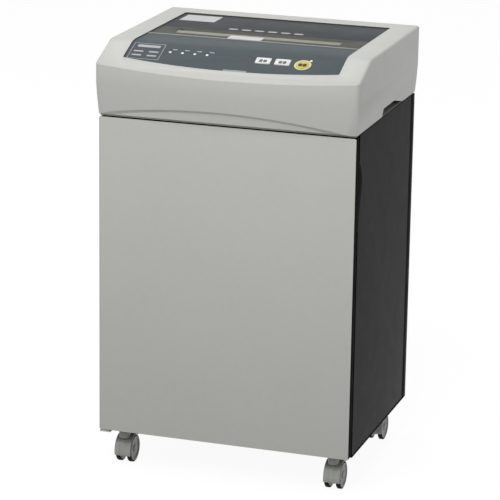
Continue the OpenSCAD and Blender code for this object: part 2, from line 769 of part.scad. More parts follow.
// ---------- Cutting block ----------
cut_z = head_z + cut_h;
front_axis = slot_y - axle_gap / 2;
rear_axis = slot_y + axle_gap / 2;
frame_in = slot_x + 5.5;
frame_out = frame_in + frame_t;
frame_half = 72;
frame_h = 100;
bush_r = journal_r + 4;
gear_gap = 3;
layer_1 = frame_out + gear_gap;
layer_2 = layer_1 + gear_t + gear_gap;
layer_3 = layer_2 + gear_t + gear_gap;
end_plate_x = layer_3 + gear_t + gear_gap;
end_plate_t = 3;
idler_d = cut_module * (drive_teeth + pinion_teeth) / 2;
motor_d = motor_module * (wheel_teeth + motor_teeth) / 2;
idler_y = rear_axis + idler_d * cos(idler_rise);
idler_z = cut_z + idler_d * sin(idler_rise);
motor_y = idler_y + motor_d * cos(motor_fall);
motor_z = idler_z - motor_d * sin(motor_fall);
idler_r = 5;
rod_r = 5;
rods = [for (y = [-52, 52], z = [-38, 36]) [slot_y + y, cut_z + z]];
spacers = [[slot_y - 62, head_z + 14], [slot_y - 62, head_z + 86],
    [motor_y + 32, head_z + 26], [motor_y + 32, head_z + 92]];
spacer_pin_r = 2.5;
plate_back = motor_y + 43;
comb_gap = 1.2;
comb_bar = 8;
comb_h = 26;
hook_h = 3.2;
stagger = 7;
shaft_left = -frame_out - 6;

// Outline of one cutter disc: each hooked tooth rises to its tip over four points, then drops
function disc_points() = [for (k = [0:hook_count - 1], i = [0:4])
    let (a = 360 / hook_count * (k + (i < 4 ? 0.24 * i : 0.78)),
        drop = i < 4 ? hook_h * pow(1 - i / 3, 2) : hook_h)
    (disc_r - drop) * [cos(a), sin(a)]];

// Cutter shaft with count discs; the teeth are staggered from disc to disc
module cutter_shaft(y, count, hand, right) translate([0, y, cut_z]) {
    bar_x(shaft_left, right, journal_r, 0, 0);
    bar_x(-frame_in + 2, frame_in - 2, core_r, 0, 0);
    for (i = [0:count - 1]) translate([(i - (count - 1) / 2) * disc_pitch, 0, 0])
        rotate([hand * (i * stagger % 60), 0, 0]) yz(-disc_t / 2, disc_t / 2)
            mirror([hand > 0 ? 0 : 1, 0]) polygon(disc_points());
}

module cutter_front() color(steel) place()
    cutter_shaft(front_axis, disc_count, 1, layer_1 + gear_t);

module cutter_rear() color(steel) place()
    cutter_shaft(rear_axis, disc_count + 1, -1, layer_2 + gear_t);

// Stripper comb in front of the front shaft; its fingers reach round the shaft's core
module stripper_comb(count) {
    bar_y = -disc_r - comb_gap - comb_bar;
    block([-frame_in, bar_y, -comb_h / 2], [frame_in, bar_y + comb_bar, comb_h / 2]);
    for (i = [0:count - 1]) translate([(i - (count - 1) / 2) * disc_pitch, 0, 0])
        yz(-finger_t / 2, finger_t / 2) difference() {
            union() {
                translate([bar_y + comb_bar - 1, -comb_h / 2])
                    square([disc_r - core_r + comb_gap + 1, comb_h]);
                intersection() {
                    circle(disc_r - 1);
                    translate([-disc_r, -disc_r]) square([disc_r + 2, 2 * disc_r]);
                }
            }
            circle(core_r + 0.6);
        }
}

module stripper_comb_front() color(dark_steel) place() translate([0, front_axis, cut_z])
    stripper_comb(disc_count + 1);

module stripper_comb_rear() color(dark_steel) place() translate([0, rear_axis, cut_z])
    mirror([0, 1, 0]) stripper_comb(disc_count);

// Outline of a side frame reaching back to y1, with its bores
module frame_outline(y1) difference() {
    translate([slot_y - frame_half, head_z]) square([y1 - slot_y + frame_half, frame_h]);
    for (y = [front_axis, rear_axis]) translate([y, cut_z]) circle(bush_r + run_clear);
    for (p = rods) translate(p) circle(rod_r + run_clear);
}

module side_frame_left() color(steel) place()
    yz(-frame_out, -frame_in) frame_outline(slot_y + frame_half);

module side_frame_right() color(steel) place()
    yz(frame_in, frame_out) difference() {
        frame_outline(plate_back);
        translate([idler_y, idler_z]) circle(idler_r + run_clear);
        translate([motor_y, motor_z]) circle(motor_shaft_r + 2);
    }

// Rods between the side frames, and the stepped posts that carry the gear plate
module tie_rods() color(steel) place() {
    for (p = rods) bar_x(-frame_out - 4, frame_out + 2, rod_r, p[0], p[1]);
    for (p = spacers) {
        bar_x(frame_out, end_plate_x, rod_r, p[0], p[1]);
        bar_x(end_plate_x - 1, end_plate_x + end_plate_t + 2, spacer_pin_r, p[0], p[1]);
    }
}

module shaft_bushes() color([0.72, 0.58, 0.32]) place()
    for (y = [front_axis, rear_axis], s = [0, 1]) mirror([s, 0, 0]) difference() {
        bar_x(frame_in, frame_out, bush_r, y, cut_z);
        bar_x(frame_in - 1, frame_out + 1, journal_r + run_clear, y, cut_z);
    }

// ---------- Gears ----------
press_angle = 20;
addendum = 0.8;
dedendum = 1.05;
flank_steps = 4;

function involute(a) = tan(a) * 180 / PI - a;

// Outline of a spur gear; one tooth's middle lies at angle 0
function gear_points(teeth, m) = let (rp = teeth * m / 2, rb = rp * cos(press_angle),
    r0 = max(rb, rp - dedendum * m), ra = rp + addendum * m,
    half = 90 / teeth - backlash / 2 / rp * 180 / PI + involute(press_angle),
    radii = [for (i = [0:flank_steps]) r0 + (ra - r0) * i / flank_steps],
    flank = concat([[rp - dedendum * m, half]], [for (r = radii) [r, half - involute(acos(rb / r))]]))
    [for (k = [0:teeth - 1], s = [-1, 1], p = s < 0 ? flank : reversed(flank))
        let (a = k * 360 / teeth + s * p[1]) p[0] * [cos(a), sin(a)]];

// Spur gear from x0 over the width t, turned by angle a from +Y towards +Z
module spur_gear(teeth, m, x0, t, bore, y, z, a) translate([0, y, z]) rotate([a, 0, 0])
    yz(x0, x0 + t) difference() {
        polygon(gear_points(teeth, m));
        if (bore > 0) circle(bore);
    }

module sync_gear_front() color(dark_steel) place() spur_gear(sync_teeth, axle_gap / sync_teeth,
    layer_1, gear_t, journal_r + run_clear, front_axis, cut_z, 180 / sync_teeth);

module sync_gear_rear() color(dark_steel) place() spur_gear(sync_teeth, axle_gap / sync_teeth,
    layer_1, gear_t, journal_r + run_clear, rear_axis, cut_z, 0);

module drive_gear() color(dark_steel) place() spur_gear(drive_teeth, cut_module,
    layer_2, gear_t, journal_r + run_clear, rear_axis, cut_z, idler_rise);

module idler_axle() color(steel) place()
    bar_x(frame_in, end_plate_x + end_plate_t, idler_r, idler_y, idler_z);

module intermediate_gear() color([0.86, 0.85, 0.80]) place() difference() {
    union() {
        spur_gear(pinion_teeth, cut_module, layer_2, gear_t, 0, idler_y, idler_z,
            idler_rise + 180 - 180 / pinion_teeth);
        spur_gear(wheel_teeth, motor_module, layer_3, gear_t, 0, idler_y, idler_z, -motor_fall);
        bar_x(layer_1, end_plate_x - gap, 9, idler_y, idler_z);
    }
    bar_x(layer_1 - 1, end_plate_x + 1, idler_r + run_clear, idler_y, idler_z);
}

module gear_plate() color(steel) place()
    yz(end_plate_x, end_plate_x + end_plate_t) difference() {
        translate([slot_y - frame_half, head_z + 4])
            square([plate_back - slot_y + frame_half, frame_h - 4]);
        translate([idler_y, idler_z]) circle(idler_r + run_clear);
        for (y = [front_axis, rear_axis]) translate([y, cut_z]) circle(journal_r + 4);
        translate([motor_y, motor_z]) circle(motor_shaft_r + 4);
        for (p = spacers) translate(p) circle(spacer_pin_r + run_clear);
    }

// ---------- Motor and electrics ----------
can_wall = 3;
bell_t = 6;
stator_r = 25;
core_l = 90;
motor_x = frame_in - motor_l;
core_x = motor_x + (motor_l - core_l) / 2;
air_gap = 0.6;
saddle_w = 40;
saddle_half = 26;
saddle_x = motor_x + 70;
cap_x = 40 - half_w;
cap_y = slot_y - 61;
cap_l = 78;
can_r = 16;
can_z = head_z + can_r + 3;
power_w = 100;
power_d = 70;
stand_h = 8;
band_w = 14;

module motor_housing() color([0.30, 0.32, 0.34]) place() difference() {
    union() {
        bar_x(motor_x, frame_in, motor_r, motor_y, motor_z);
        block([motor_x + 30, motor_y - 16, motor_z + motor_r - 4],
            [motor_x + 90, motor_y + 16, motor_z + motor_r + 12]);
    }
    bar_x(motor_x + bell_t, frame_in - bell_t, motor_r - can_wall, motor_y, motor_z);
    bar_x(motor_x - 1, frame_in + 1, motor_shaft_r + run_clear, motor_y, motor_z);
    for (a = [30:60:330]) translate([0, motor_y, motor_z]) rotate([a, 0, 0])
        translate([0, 0, 22]) bar_x(motor_x - 1, motor_x + bell_t + 1, 5, 0, 0);
}

module motor_stator() color([0.45, 0.36, 0.30]) place() difference() {
    bar_x(core_x, core_x + core_l, motor_r - can_wall - run_clear, motor_y, motor_z);
    bar_x(core_x - 1, core_x + core_l + 1, stator_r + air_gap, motor_y, motor_z);
}

module motor_rotor() color(steel) place() {
    bar_x(motor_x + 1, layer_3 + gear_t, motor_shaft_r, motor_y, motor_z);
    bar_x(core_x - 2, core_x + core_l + 2, stator_r, motor_y, motor_z);
    spur_gear(motor_teeth, motor_module, layer_3, gear_t, 0, motor_y, motor_z,
        180 - motor_fall - 180 / motor_teeth);
}

module motor_saddle() color(dark_steel) place() difference() {
    block([saddle_x, motor_y - saddle_half, head_z],
        [saddle_x + saddle_w, motor_y + saddle_half, motor_z - motor_r + 12]);
    bar_x(saddle_x - 1, saddle_x + saddle_w + 1, motor_r + 0.1, motor_y, motor_z);
}

module capacitor() color([0.80, 0.81, 0.82]) place() translate([cap_x, cap_y, can_z])
    rotate([-90, 0, 0]) {
        cylinder(h = cap_l, r = can_r);
        for (x = [-5, 5]) translate([x - 3, -0.5, cap_l - 0.5]) cube([6, 1, 9]);
    }

module capacitor_clamp() color(steel) place() difference() {
    union() {
        translate([cap_x, cap_y + cap_l / 2, can_z]) rotate([-90, 0, 0])
            cylinder(h = band_w, r = can_r + 2);
        block([cap_x - can_r - 2, cap_y + cap_l / 2, head_z],
            [cap_x + can_r + 2, cap_y + cap_l / 2 + band_w, head_z + 3]);
        block([cap_x - can_r + 2, cap_y + cap_l / 2, head_z],
            [cap_x + can_r - 2, cap_y + cap_l / 2 + band_w, head_z + 8]);
    }
    translate([cap_x, cap_y, can_z]) rotate([-90, 0, 0])
        cylinder(h = cap_l + 1, r = can_r + run_clear);
}

module power_board() color(board_green) place() translate([motor_x - 18 - power_w, motor_y - 29, head_z]) {
    for (x = [6, power_w - 6], y = [6, power_d - 6]) translate([x, y, 0])
        cylinder(h = stand_h + 0.5, r = post_r);
    translate([0, 0, stand_h]) cube([power_w, power_d, board_thick]);
    translate([0, 0, stand_h + board_thick - 0.5]) {
        translate([8, 16, 0]) cube([36, 38, 30]);
        for (y = [14, 36]) translate([54, y, 0]) cube([28, 13, 16]);
        translate([50, 58, 0]) cube([38, 8, 10]);
    }
}

// ---------- Casters ----------
wheel_z = wheel_r - caster_h;
axle_r = 4;
wheel_in = 5;
web_t = 8;
fender_gap = 1;
fender_t = 2.5;
fender_round = 2;
neck_r = 11;
neck_l = 19;
shoulder_r = 3;
hub_top = -6;
socket_t = 3;
socket_r = 14;

module caster_sockets() color(near_black) place() for (p = caster_places)
    translate([p[0], p[1], -socket_t]) difference() {
        union() {
            cylinder(h = socket_t, r = socket_r);
            cylinder(h = socket_t + boss_l, r = boss_r);
        }
        translate([0, 0, -1]) cylinder(h = boss_l + 2, r = stem_r + run_clear);
    }

// Hood of a twin-wheel caster: stem, neck, fenders and the web that carries the axle
module caster_hood(p) color(caster_grey) place() translate([p[0], p[1], 0]) difference() {
    r0 = wheel_r + fender_gap;
    union() {
        translate([0, 0, hub_top]) cylinder(h = boss_l - 4 - hub_top, r = stem_r);
        translate([0, 0, -neck_l]) cylinder(h = neck_l + hub_top, r = neck_r);
        yz(-web_t / 2, web_t / 2) intersection() {
            translate([trail, wheel_z]) circle(r0 + 1);
            translate([trail - 60, wheel_z - 9]) square([66, 60]);
        }
        translate([0, trail, wheel_z]) rotate([0, -90, 0]) fender(r0, wheel_in + wheel_w + 1);
    }
    bar_x(-web_t, web_t, axle_r + run_clear, trail, wheel_z);
}

// Fender over both wheels, from below their front to behind their top, with a shallow valley
module fender(r0, w) rotate([0, 0, -105]) rotate_extrude(angle = 140) difference() {
    union() {
        for (s = [-1, 1]) {
            translate([r0, s > 0 ? web_t / 2 : fender_round - w])
                square([fender_t, w - web_t / 2 - fender_round]);
            translate([r0 + fender_t - fender_round, s * (w - fender_round)]) circle(fender_round);
            translate([r0, s > 0 ? w - fender_round : -w]) square([0.5, fender_round]);
        }
        translate([r0, -web_t / 2 - 1]) square([fender_t - 1, web_t + 2]);
    }
    translate([0, -2 * w]) square([r0, 4 * w]);
}

// Profile of one wheel: a round-shouldered tread and a dished hub
module wheel_profile() difference() {
    union() {
        square([wheel_r - shoulder_r, wheel_w]);
        translate([0, shoulder_r]) square([wheel_r, wheel_w - 2 * shoulder_r]);
        for (y = [shoulder_r, wheel_w - shoulder_r])
            translate([wheel_r - shoulder_r, y]) circle(shoulder_r);
    }
    translate([-1, -1]) square([axle_r + run_clear + 1, wheel_w - 2]);
    translate([7, wheel_w - 2]) square([wheel_r - 13, 3]);
}

module caster_wheels(p) color(near_black) place() translate([p[0], p[1] + trail, wheel_z]) {
    bar_x(-wheel_in - wheel_w + shoulder_r, wheel_in + wheel_w - shoulder_r, axle_r, 0, 0);
    mirror_copy() translate([wheel_in, 0, 0]) rotate([90, 0, 90]) rotate_extrude() wheel_profile();
}

module caster_fl_hood() caster_hood(caster_places[0]);
module caster_fl_wheels() caster_wheels(caster_places[0]);
module caster_fr_hood() caster_hood(caster_places[1]);
module caster_fr_wheels() caster_wheels(caster_places[1]);
module caster_rl_hood() caster_hood(caster_places[2]);
module caster_rl_wheels() caster_wheels(caster_places[2]);
module caster_rr_hood() caster_hood(caster_places[3]);
module caster_rr_wheels() caster_wheels(caster_places[3]);

// ---------- Drawing ----------
base_board();
side_panel_left();
side_panel_right();
back_panel();
front_rail();
cabinet_screws();
chassis_plate();
debris_chute();
bin_guides();
lower_pivot_bracket();
upper_pivot_pin();
magnet_catch();
door_switch();
cord_gland();
head_cover();
head_screws();
control_fascia();
feed_throat();
feed_lip();
rear_cover();
indicator_lenses();
start_bezel();
control_board();
start_button();
stop_button();
reverse_button();
paper_sensor();
side_frame_left();
side_frame_right();
tie_rods();
shaft_bushes();
cutter_front();
cutter_rear();
stripper_comb_front();
stripper_comb_rear();
sync_gear_front();
sync_gear_rear();
drive_gear();
idler_axle();
intermediate_gear();
gear_plate();
motor_housing();
motor_stator();
motor_rotor();
motor_saddle();
capacitor();
capacitor_clamp();
power_board();
door_panel();
door_fittings();
waste_bin();
caster_sockets();
caster_fl_hood();
caster_fl_wheels();
caster_fr_hood();
caster_fr_wheels();
caster_rl_hood();
caster_rl_wheels();
caster_rr_hood();
caster_rr_wheels();
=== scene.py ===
"""Looks of an office paper shredder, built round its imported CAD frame.

Each class below makes or dresses one sub-assembly: the cabinet, its door and waste bin,
the head with its control panel, the cutting mechanism, the motor and the casters.
Lengths in the classes are in millimetres, and meshes are in metres.
"""
import functools
import logging
import math
from dataclasses import dataclass, field
from enum import Enum
from typing import Callable, Iterable, Optional, Sequence

import bmesh
import bpy
from mathutils import Matrix, Vector
from mathutils.bvhtree import BVHTree


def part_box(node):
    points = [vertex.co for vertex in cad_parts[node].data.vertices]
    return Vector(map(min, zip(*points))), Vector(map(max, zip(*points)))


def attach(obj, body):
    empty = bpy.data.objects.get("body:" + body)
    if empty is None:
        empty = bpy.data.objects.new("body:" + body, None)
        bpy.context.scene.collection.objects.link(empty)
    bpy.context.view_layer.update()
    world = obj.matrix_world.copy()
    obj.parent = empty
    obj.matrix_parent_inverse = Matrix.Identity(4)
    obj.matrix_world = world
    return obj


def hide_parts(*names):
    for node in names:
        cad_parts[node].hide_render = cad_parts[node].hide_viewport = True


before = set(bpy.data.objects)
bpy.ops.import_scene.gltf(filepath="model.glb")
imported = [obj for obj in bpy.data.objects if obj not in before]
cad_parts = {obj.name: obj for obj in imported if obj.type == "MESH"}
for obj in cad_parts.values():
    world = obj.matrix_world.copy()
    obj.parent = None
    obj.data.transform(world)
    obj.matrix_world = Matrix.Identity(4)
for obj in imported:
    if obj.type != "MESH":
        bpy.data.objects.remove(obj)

FaceTest = Callable[[Vector, Vector], bool]  # a test on a face's centre and normal

LOG = logging.getLogger("shredder")
MM = 0.001
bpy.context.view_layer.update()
ROOT = "cabinet"
FILM_SUNK = 0.05  # how far a film reaches into what it lies on, in millimetres
SAME_POINT = 1e-6  # distance in metres under which corners are one
FACING = 0.7  # part of a normal from which a face counts as facing that way
LEANING = 0.5  # the same for faces that may lean up to 60 degrees
MIDDLE_TONES = (0.3, 0.7)  # range that holds nearly all of a noise pattern
COAT_ROUGHNESS = 0.15
BUMP_DEPTH = 0.0005  # in metres


# ---------- Finishes ----------
class Grain(Enum):
    """Kinds of surface relief that a finish can have."""

    SPARK = "fine spark texture of a moulding"
    MELAMINE = "pressed pores of a melamine board"
    FOIL = "satin film"
    BRUSHED = "lines along X"
    TURNED = "rings round X"
    PAINT = "orange peel of sprayed paint"
    RUBBER = "matt rubber"
    GLOSS = "polished moulding"
    BOARD = "etched circuit board"


def linear(code: str) -> tuple[float, float, float, float]:
    """Turns a six-digit colour code into linear red, green, blue and alpha."""
    parts = [int(code[i:i + 2], 16) / 255 for i in (0, 2, 4)]
    return (*(c / 12.92 if c < 0.04045 else ((c + 0.055) / 1.055) ** 2.4 for c in parts), 1.0)


class Graph:
    """Small helper that adds and links the nodes of one tree."""

    def __init__(self, tree: bpy.types.NodeTree) -> None:
        """Keeps the tree that the nodes go into."""
        self.tree = tree

    def add(self, kind: str, inputs: Optional[dict] = None, **settings: object) -> bpy.types.Node:
        """Adds a node.

        Args:
            kind: The node's type name.
            inputs: Values or sockets for its inputs, by name or index.
            settings: Properties of the node.

        Returns:
            The new node.
        """
        node = self.tree.nodes.new(kind)
        for key, value in settings.items():
            setattr(node, key, value)
        for key, value in (inputs or {}).items():
            if isinstance(value, bpy.types.NodeSocket):
                self.tree.links.new(value, node.inputs[key])
            else:
                node.inputs[key].default_value = value
        return node

    def noise(self, vector: bpy.types.NodeSocket, scale: float, detail: float = 2.0) -> bpy.types.NodeSocket:
        """Returns the factor of a noise pattern of that scale."""
        return self.add("ShaderNodeTexNoise", {"Vector": vector, "Scale": scale, "Detail": detail}).outputs[0]

    def cells(self, vector: bpy.types.NodeSocket, scale: float, distance: str = "EUCLIDEAN"
              ) -> bpy.types.NodeSocket:
        """Returns the distance to the nearest point of a cell pattern of that scale."""
        node = self.add("ShaderNodeTexVoronoi", {"Vector": vector, "Scale": scale}, distance=distance)
        return node.outputs["Distance"]

    def spread(self, value: bpy.types.NodeSocket, low: float, high: float) -> bpy.types.NodeSocket:
        """Maps the middle of a noise factor to the range from low to high."""
        least, most = MIDDLE_TONES
        return self.add("ShaderNodeMapRange", {0: value, 1: least, 2: most, 3: low, 4: high}).outputs[0]

    def stretch(self, vector: bpy.types.NodeSocket, scale: Sequence[float]) -> bpy.types.NodeSocket:
        """Returns the coordinates scaled along X, Y and Z."""
        return self.add("ShaderNodeMapping", {"Vector": vector, "Scale": scale}).outputs[0]

    def math(self, operation: str, a: object, b: object) -> bpy.types.NodeSocket:
        """Returns the result of a math node."""
        return self.add("ShaderNodeMath", {0: a, 1: b}, operation=operation).outputs[0]


@dataclass(frozen=True)
class Finish:
    """A surface finish: its colour, its gloss and its relief."""

    name: str
    slot: str
    colour: str
    grain: Grain = Grain.SPARK
    wander: float = 0.05
    rough: tuple[float, float] = (0.42, 0.55)
    relief: float = 0.03
    metallic: float = 0.0
    specular: float = 0.5
    coat: float = 0.0
    glow: float = 0.0

    def height(self, graph: Graph, place: bpy.types.NodeSocket) -> bpy.types.NodeSocket:
        """Returns the relief pattern of this finish.

        Args:
            graph: Tree that the pattern is added to.
            place: Object coordinates. Scales are counted per metre.

        Returns:
            The height, about from 0 to 1.
        """
        if self.grain is Grain.MELAMINE:
            pores = graph.noise(graph.stretch(place, (900, 900, 260)), scale=1.0, detail=3.0)
            return graph.math("ADD", pores, graph.noise(place, scale=160.0))
        if self.grain is Grain.BRUSHED:
            return graph.noise(graph.stretch(place, (25, 2200, 2200)), scale=1.0, detail=3.0)
        if self.grain is Grain.TURNED:
            return graph.noise(graph.stretch(place, (2600, 8, 8)), scale=1.0)
        if self.grain is Grain.PAINT:
            return graph.math("ADD", graph.noise(place, scale=420.0), graph.noise(place, scale=1600.0))
        if self.grain is Grain.RUBBER:
            fine = graph.noise(place, scale=900.0, detail=4.0)
            return graph.math("ADD", fine, graph.noise(place, scale=90.0))
        if self.grain is Grain.BOARD:
            gap = 0.42
            return graph.math("GREATER_THAN", graph.cells(place, scale=150.0, distance="CHEBYCHEV"), gap)
        if self.grain is Grain.GLOSS:
            return graph.noise(place, scale=240.0, detail=1.0)
        if self.grain is Grain.FOIL:
            return graph.noise(place, scale=2600.0, detail=1.0)
        grains = graph.cells(place, scale=1500.0)
        return graph.math("ADD", grains, graph.noise(place, scale=700.0, detail=3.0))

    @functools.lru_cache(maxsize=None)
    def material(self) -> bpy.types.Material:
        """Returns the node material of this finish, made once."""
        material = bpy.data.materials.new(self.name)
        material.use_nodes = True
        material.node_tree.nodes.clear()
        graph = Graph(material.node_tree)
        place = graph.add("ShaderNodeTexCoord").outputs["Object"]
        base = linear(self.colour)
        tones = [tuple(min(1.0, c * (1 + s * self.wander)) for c in base[:3]) + (1.0,) for s in (-1, 1)]
        wide, fine = graph.noise(place, scale=7.0, detail=4.0), graph.noise(place, scale=95.0, detail=3.0)
        cloud = graph.math("ADD", wide, fine)
        blend = graph.spread(graph.math("MULTIPLY", cloud, 0.5), 0.0, 1.0)
        relief = self.height(graph, place)
        if self.grain is Grain.BOARD:
            blend = relief
        colour = graph.add("ShaderNodeMix", {0: blend, 6: tones[0], 7: tones[1]}, data_type="RGBA").outputs[2]
        rough = graph.spread(graph.noise(place, scale=30.0, detail=5.0), *self.rough)
        bump = graph.add("ShaderNodeBump", {"Height": relief, "Strength": self.relief,
                                            "Distance": BUMP_DEPTH})
        shader = graph.add("ShaderNodeBsdfPrincipled", {
            "Base Color": colour, "Roughness": rough, "Metallic": self.metallic, "Normal": bump.outputs[0],
            "Specular IOR Level": self.specular, "Coat Weight": self.coat, "Coat Roughness": COAT_ROUGHNESS})
        if self.glow:
            shader.inputs["Emission Color"].default_value = base
            shader.inputs["Emission Strength"].default_value = self.glow
        graph.add("ShaderNodeOutputMaterial", {0: shader.outputs[0]})
        return material


HEAD_GREY = Finish("head_grey_moulding", "head_plastic", "cccdc7", wander=0.02, rough=(0.36, 0.44),
                   relief=0.1, specular=0.55)
DOOR_GREY = Finish("door_grey_laminate", "laminate_grey", "c9cac4", Grain.MELAMINE, 0.02, (0.5, 0.64), 0.08)
CHARCOAL = Finish("charcoal_laminate", "laminate_charcoal", "353535", Grain.MELAMINE, 0.025, (0.62, 0.68),
                  0.1, specular=0.12)
BACK_BLACK = Finish("black_back_board", "board_black", "191a1b", Grain.MELAMINE, 0.03, (0.65, 0.75), 0.12,
                    specular=0.08)
# Black edge banding on the door and the boards' fronts, and painted shade in the bands along the side panels'
# rear and lower edges.
EDGE_BLACK = Finish("black_edge_banding_and_painted_shade", "board_black", "141516", Grain.GLOSS, 0.08, (0.6, 0.7), 0.05,
                    specular=0.01)
FASCIA = Finish("fascia_film", "fascia_blue", "5c6568", Grain.FOIL, 0.03, (0.46, 0.52), 0.05, specular=0.03)
PANEL = Finish("panel_moulding", "panel_grey", "4b4e51", Grain.SPARK, 0.04, (0.5, 0.6), 0.12, specular=0.06)
THROAT = Finish("throat_moulding", "panel_grey", "45473f", Grain.SPARK, 0.05, (0.5, 0.62), 0.12,
                specular=0.15)
OLIVE = Finish("throat_shadow_band", "panel_grey", "74756a", Grain.SPARK, 0.05, (0.5, 0.62), 0.12,
               specular=0.2)
# Lighter than the hollows' own grey, as painted light in the shaded grip hollows and on the chassis plate's
# top seen in them.
GRIP = Finish("grip_hollow_painted_light", "panel_grey", "86887f", Grain.SPARK, 0.05, (0.5, 0.62), 0.12, specular=0.15)
# Lighter than the head's grey, as painted light on the lens-shaped facet, which faces down into shade.
FACET = Finish("facet_painted_light", "head_plastic", "fafaf4", wander=0.02, rough=(0.4, 0.48), relief=0.1)
CREASE = Finish("crease_shadow_line", "head_plastic", "d0d1cb", wander=0.02, rough=(0.4, 0.48), relief=0.1)
# A lighter grey, as painted light on the chassis plate's front edge, which lies in the seam's shade.
SEAM_EDGE = Finish("seam_edge_painted_light", "panel_grey", "a4a69e", Grain.SPARK, 0.05, (0.5, 0.62), 0.12, specular=0.15)
LIP = Finish("feed_lip_moulding", "lip_grey", "8b8b80", Grain.GLOSS, 0.04, (0.35, 0.45), 0.04)
# A painted highlight: the pale line along the throat's front edge stands for light that the edge catches.
SEAM_PALE = Finish("seam_painted_highlight", "lip_grey", "a3a59d", Grain.GLOSS, 0.03, (0.4, 0.5), 0.04)
LABEL = Finish("bare_label_film", "lamp_white", "cfd1d1", Grain.FOIL, 0.02, (0.4, 0.5), 0.04)
# Lighter than the rear label's film, as painted light on the slot label, which lies in the throat's shade.
SLOT_LABEL = Finish("slot_label_film_painted_light", "lamp_white", "dddfdf", Grain.FOIL, 0.02, (0.4, 0.5), 0.04)
PRINT = Finish("pale_print", "lamp_white", "b4b8b8", Grain.FOIL, 0.05, (0.4, 0.5), 0.03)
TAG = Finish("tag_film", "lamp_white", "8f9698", Grain.FOIL, 0.05, (0.35, 0.45), 0.03)
MARK = Finish("dark_print", "black_plastic", "595b5f", Grain.FOIL, 0.05, (0.4, 0.5), 0.03)
KEY_WHITE = Finish("white_key_moulding", "button_white", "e9e9e6", Grain.GLOSS, 0.015, (0.25, 0.36), 0.03,
                   coat=0.1)
YELLOW = Finish("yellow_button_moulding", "button_yellow", "d0bf55", Grain.GLOSS, 0.05, (0.25, 0.35), 0.03,
                coat=0.2)
YELLOW_MARK = Finish("amber_print", "button_yellow", "5c4a0e", Grain.FOIL, 0.05, (0.35, 0.45), 0.03,
                     specular=0.05)
BEZEL = Finish("bezel_moulding", "bezel_cream", "dcd59f", Grain.GLOSS, 0.03, (0.25, 0.35), 0.03)
LAMP = Finish("lamp_cap", "lamp_white", "f2f2ee", Grain.GLOSS, 0.01, (0.15, 0.25), 0.02, coat=0.3, glow=0.15)
BLACK = Finish("black_moulding", "black_plastic", "232425", Grain.SPARK, 0.1, (0.45, 0.6), 0.15)
BIN = Finish("bin_moulding", "bin_plastic", "2f3133", Grain.SPARK, 0.08, (0.4, 0.55), 0.2)
CIRCUIT = Finish("solder_mask", "circuit_board", "24573a", Grain.BOARD, 0.18, (0.25, 0.4), 0.15)
STEEL = Finish("bright_steel", "steel", "b4b6b9", Grain.TURNED, 0.05, (0.22, 0.36), 0.05, 1.0)
HARDENED = Finish("oiled_steel", "dark_steel", "7a7d80", Grain.TURNED, 0.08, (0.24, 0.4), 0.06, 1.0)
ZINC = Finish("zinc_sheet", "zinc_plate", "a5a8aa", Grain.BRUSHED, 0.06, (0.32, 0.48), 0.05, 1.0)
BRONZE = Finish("sintered_bronze", "bronze", "b08d55", Grain.RUBBER, 0.08, (0.35, 0.5), 0.08, 1.0)
NYLON = Finish("gear_nylon_moulding", "gear_nylon", "dedbcb", Grain.GLOSS, 0.03, (0.35, 0.5), 0.04)
MOTOR = Finish("motor_enamel", "motor_paint", "3c4146", Grain.PAINT, 0.08, (0.3, 0.45), 0.15)
CORE = Finish("core_lacquer", "core_varnish", "7c6653", Grain.TURNED, 0.1, (0.4, 0.55), 0.3, 0.7)
CAN = Finish("drawn_can", "aluminium_can", "c3c5c7", Grain.BRUSHED, 0.04, (0.28, 0.4), 0.04, 1.0)
HOOD = Finish("caster_moulding", "caster_grey", "a3a5a0", Grain.GLOSS, 0.06, (0.4, 0.5), 0.08)
HUB = Finish("wheel_hub_moulding", "wheel_black", "858782", Grain.SPARK, 0.06, (0.35, 0.5), 0.1)
TREAD = Finish("wheel_tread", "wheel_black", "151616", Grain.RUBBER, 0.2, (0.65, 0.8), 0.2, specular=0.1)


# ---------- Meshes ----------
@dataclass(frozen=True)
class Stations:
    """Planes of the cabinet that places are counted from, in metres."""

    door_face: float
    underside: float

    @classmethod
    def read(cls) -> "Stations":
        """Reads the planes from the frame."""
        return cls(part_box("door_panel")[0].y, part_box("side_panel_right")[0].z)

    def at(self, x: float, y: float, z: float) -> Vector:
        """Turns millimetres from the middle, the door's face and the underside into a point."""
        return Vector((x * MM, self.door_face + y * MM, self.underside + z * MM))


STATIONS = Stations.read()


def shown(name: str, mesh: bpy.types.Mesh, finish: Finish, body: str,
          nodes: Iterable[str] = ()) -> bpy.types.Object:
    """Makes a finished piece of a mesh.

    Args:
        name: Name of the piece.
        mesh: Its mesh, in place.
        finish: Finish that it takes, if the mesh has no material.
        body: Body that it rides on.
        nodes: CAD nodes that it stands for.

    Returns:
        The new object.
    """
    piece = bpy.data.objects.new(name, mesh)
    bpy.context.scene.collection.objects.link(piece)
    if not mesh.materials:
        mesh.materials.append(finish.material())
    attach(piece, body)
    if nodes:
        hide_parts(*nodes)
    LOG.info("%s rides on %s: %d faces, %s", name, body, len(mesh.polygons), finish.name)
    return piece


CREASE_ANGLE = 3.0  # degrees from which an edge in a crease is sharp


